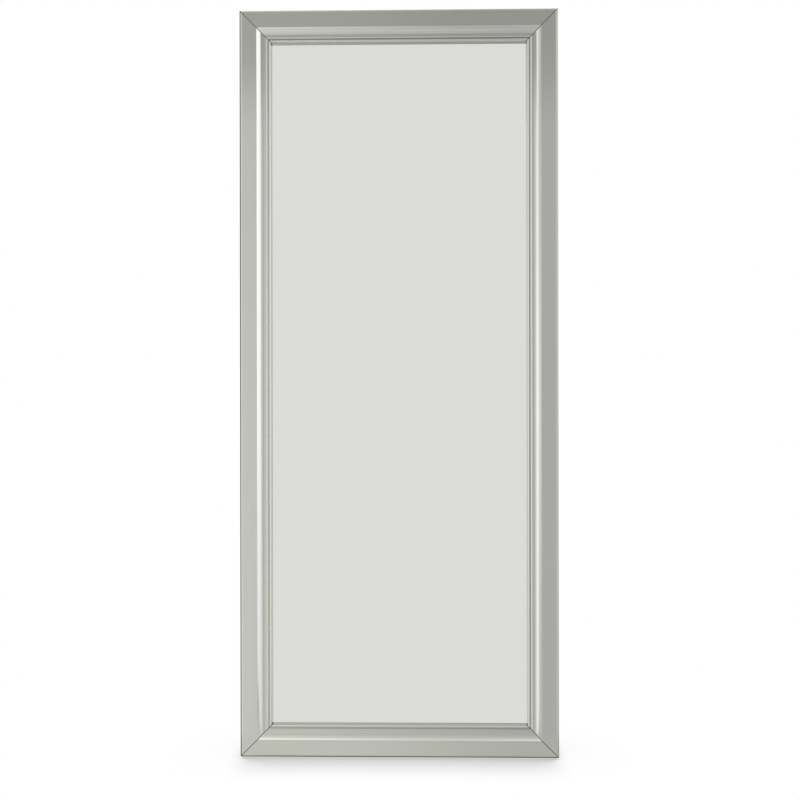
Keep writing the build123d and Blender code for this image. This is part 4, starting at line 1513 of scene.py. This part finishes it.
@dataclass(frozen=True)
class Surroundings:
    """What metal mirrors: one even level in the sharp mirror, brighter and darker cloths in satin metal.

    Levels are given at angles in degrees: around from straight in front to the right, and up from level.
    """

    mirrored: tuple[float, float] = (0.81, 0.70)
    mirrored_fade: tuple[float, float] = (20.0, 70.0)
    ambient: float = 0.62
    around: tuple[tuple[float, float], ...] = (
        (-180, 0.15), (-105, 0.12), (-96, 0.35), (-86, 1.12), (-70, 1.08), (-54, 1.45), (-40, 1.65),
        (-27, 1.35), (-14, 0.94), (-7.5, 0.90), (-4, 0.82), (-1, 0.73), (3, 0.64), (6, 0.62), (10, 0.74),
        (22, 0.93), (35, 1.08), (42, 1.5), (50, 1.62), (103, 1.72), (114, 0.7), (180, 0.4),
    )
    above: tuple[tuple[float, float], ...] = (
        (-90, 0.88), (-60, 0.94), (-40, 1.12), (-25, 1.05), (-14, 1.0), (0, 1.0), (15, 1.08), (30, 1.16),
        (43, 1.22), (58, 1.34), (75, 1.42), (90, 1.4),
    )
    beside: tuple[tuple[float, float], ...] = (
        (-90, 0.5), (-25, 0.6), (-10, 0.78), (0, 1.0), (60, 1.0), (90, 0.8),
    )
    side_fade: tuple[float, float] = (30.0, 50.0)
    left_fade: tuple[float, float] = (-2.0, 1.0)
    upper_fade: tuple[float, float] = (-2.0, 12.0)
    upper_falls: tuple[float, float, float] = (0.05, 0.08, 0.12)
    behind_level: float = 0.9
    behind_around: tuple[float, float] = (105.0, 125.0)
    behind_up: tuple[float, float] = (22.0, 40.0)
    cool_fade: tuple[float, float] = (1.5, 5.0)
    cool: Colour = (0.985, 0.985, 1.05)

    @staticmethod
    def ramp(graph: Graph, angle: Signal, stops: Sequence[tuple[float, float]], half: float) -> Signal:
        """Level that changes with an angle.

        Args:
            graph: The world's nodes.
            angle: The angle in degrees.
            stops: Level at each angle.
            half: Largest size of the angle.

        Returns:
            The level.
        """
        top = max(level for _, level in stops)
        places = {(degree + half) / (2 * half): level / top for degree, level in stops}
        share = (angle + half) / (2 * half)
        return graph.node("ShaderNodeValToRGB", {"stops": places}, {0: share}) * top

    def satin(self, graph: Graph, azimuth: Signal, height: Signal) -> Signal:
        """Level that satin metal mirrors.

        Args:
            graph: The world's nodes.
            azimuth: Angle around.
            height: Angle up.

        Returns:
            The level.
        """
        side = abs(azimuth).step(*self.side_fade)
        left = azimuth.step(*self.left_fade, 1.0, 0.0)
        upper = height.step(*self.upper_fade)
        around = self.ramp(graph, azimuth, self.around, 180.0)
        above = self.ramp(graph, height, self.above, 90.0)
        beside = self.ramp(graph, height, self.beside, 90.0)
        middle_fall, left_fall, left_side_fall = self.upper_falls
        fall = 1.0 - upper * (middle_fall * (1.0 - side) + left * (left_fall + left_side_fall * side))
        level = around * fall * (side * beside + (1.0 - side) * above)
        behind = abs(azimuth).step(*self.behind_around) * height.step(*self.behind_up)
        return level + behind * (self.behind_level - level)

    def build(self) -> None:
        """Sets the world: white to the eye, its own levels in metal, and a soft even light on the rest."""
        world = bpy.data.worlds.new("studio")
        bpy.context.scene.world = world
        world.use_nodes = True
        graph = Graph(world.node_tree)
        x, y, z = graph.parts(graph.node("ShaderNodeTexCoord", output="Generated"))
        azimuth = x.maths("ARCTAN2", 0.0 - y) * degrees(1.0)
        height = z.maths("ARCSINE") * degrees(1.0)
        rays = Rays(graph)
        even = abs(azimuth).step(*self.mirrored_fade, *self.mirrored)
        mirrored = rays.sharp * even + (1.0 - rays.sharp) * self.satin(graph, azimuth, height)
        glossy = rays.glossy * (1.0 - rays.seen)
        level = rays.seen + glossy * mirrored + (1.0 - rays.seen.most(rays.glossy)) * self.ambient
        cool = azimuth.step(*self.cool_fade) * glossy * (1.0 - rays.sharp)
        tint = graph.mix(cool, (1.0, 1.0, 1.0), self.cool)
        light = graph.node("ShaderNodeVectorMath", {"operation": "SCALE"}, {0: tint, "Scale": level})
        graph.finish(graph.node("ShaderNodeBackground", inputs={"Color": light}), "ShaderNodeOutputWorld")


@dataclass(frozen=True)
class Floor:
    """Pale floor, white to the eye except where the object keeps the light off it."""

    half: float = 40.0
    colour: Colour = (0.8, 0.8, 0.79)
    shadow_reach: float = 0.2
    shadow_share: float = 0.82
    shadow_least: float = 0.575
    shadow_half: tuple[float, float] = (0.35, 0.41)
    shadow_beside: float = 0.12
    near_half: tuple[float, float] = (0.55, 0.28)
    near_fade: float = 0.06
    mirrored_level: float = 0.81
    satin_span: tuple[float, float] = (-0.2, 0.38)
    satin_levels: tuple[float, float] = (0.86, 0.69)
    satin_open: tuple[float, float] = (0.48, 0.61)
    satin_least: float = 0.1

    def build(self) -> None:
        """Makes the floor, which metal mirrors only close to the object."""
        half = self.half
        corners = ((-half, -half, 0), (half, -half, 0), (half, half, 0), (-half, half, 0))
        _, graph = sheet("studio_floor", corners)
        open_sky = graph.open_sky(self.shadow_reach, 16)
        rays = Rays(graph)
        x, y, _ = graph.parts(graph.place())
        reach = abs(x).step(*self.shadow_half, 1.0, self.shadow_beside)
        seen_tone = (1.0 - self.shadow_share * reach * (1.0 - open_sky)).most(self.shadow_least)
        across = x.step(*self.satin_span, *self.satin_levels)
        satin_tone = across * open_sky.step(*self.satin_open, self.satin_least, 1.0)
        mirrored_tone = rays.sharp * (seen_tone * self.mirrored_level) + (1.0 - rays.sharp) * satin_tone
        level = seen_tone * (1.0 - rays.glossy) + mirrored_tone * rays.glossy
        shown = graph.node("ShaderNodeEmission", inputs={"Color": level})
        matt = graph.node("ShaderNodeBsdfDiffuse", inputs={"Color": self.colour})
        solid = graph.node("ShaderNodeMixShader", inputs={0: rays.seen.most(rays.glossy), 1: matt, 2: shown})
        outside = (abs(x) - self.near_half[0]).most(abs(y) - self.near_half[1])
        far = rays.glossy * outside.step(0.0, self.near_fade)
        clear = graph.node("ShaderNodeBsdfTransparent")
        graph.finish(graph.node("ShaderNodeMixShader", inputs={0: far, 1: solid, 2: clear}))


@dataclass
class Studio:
    """White studio: floor, surroundings, a cloth, soft lamps and the camera."""

    distance: float = 3.3
    behind_face: float = 3.0 * MM
    eye: tuple[float, float] = (0.0851, 0.8584)
    pan: float = -1.431
    tilt: float = 0.015
    roll: float = -0.088
    lens: float = 62.09
    sensor: float = 36.0
    aim: Point = (0.0, 0.0, 0.9)

    def hang(self, cloth: Cloth) -> None:
        """Hangs a cloth that only satin metal close to it mirrors.

        Args:
            cloth: The cloth.
        """
        hung, graph = sheet(cloth.name, cloth.corners)
        rays = Rays(graph)
        x, _, z = graph.parts(graph.place())
        near = rays.length.step(*cloth.reach, 1.0, 0.0)
        opaque = z.step(*cloth.hem) * near * (1.0 - rays.sharp)
        shown = graph.node("ShaderNodeEmission", inputs={"Color": x.step(*cloth.span, *cloth.levels)})
        clear = graph.node("ShaderNodeBsdfTransparent")
        graph.finish(graph.node("ShaderNodeMixShader", inputs={0: opaque, 1: clear, 2: shown}))
        for ray in ("camera", "diffuse", "transmission", "volume_scatter", "shadow"):
            setattr(hung, "visible_" + ray, False)

    def light(self, lamp: Lamp) -> None:
        """Hangs a lamp, which metal doesn't mirror.

        Args:
            lamp: The lamp.
        """
        light = bpy.data.lights.new(lamp.name, "AREA")
        light.shape = "DISK"
        light.size = lamp.size
        light.energy = lamp.power
        hung = bpy.data.objects.new(lamp.name, light)
        hung.location = lamp.place
        hung.rotation_mode = "QUATERNION"
        hung.rotation_quaternion = (Vector(self.aim) - Vector(lamp.place)).to_track_quat("-Z", "Y")
        hung.visible_camera = False
        hung.visible_glossy = False
        bpy.context.scene.collection.objects.link(hung)

    def camera(self) -> None:
        """Sets the camera where the photograph was taken from."""
        front = min(Extent.of_node(member.node).low.y for member in Member)
        data = bpy.data.cameras.new("photograph")
        data.sensor_width = self.sensor
        data.lens = self.lens
        camera = bpy.data.objects.new("photograph", data)
        x, z = self.eye
        camera.location = (x, front + self.behind_face - self.distance, z)
        level = Matrix.Rotation(pi / 2 + radians(self.tilt), 4, "X")
        turn = Matrix.Rotation(radians(-self.pan), 4, "Z")
        lean = Matrix.Rotation(radians(self.roll), 4, "Z")
        camera.rotation_euler = (turn @ level @ lean).to_euler()
        bpy.context.scene.collection.objects.link(camera)
        bpy.context.scene.camera = camera

    def build(self) -> None:
        """Sets up the whole studio."""
        Surroundings().build()
        Floor().build()
        self.hang(TOP_CLOTH)
        for lamp in LAMPS:
            self.light(lamp)
        self.camera()
        bpy.context.scene.view_settings.view_transform = "Standard"


def corners(bounds: tuple[Vector, Vector]) -> list[list[float]]:
    """Two corners as plain lists."""
    return [list(corner) for corner in bounds]


def main() -> None:
    """Builds the sub-assemblies in order, then the studio."""
    logging.basicConfig(level=logging.INFO, format="%(message)s")
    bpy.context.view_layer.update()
    for part in (MirrorFrame(), MirrorPlate(), DoorBack(), Cabinet(), Fittings(), Studio()):
        part.build()


if __name__ == "__main__":
    main()
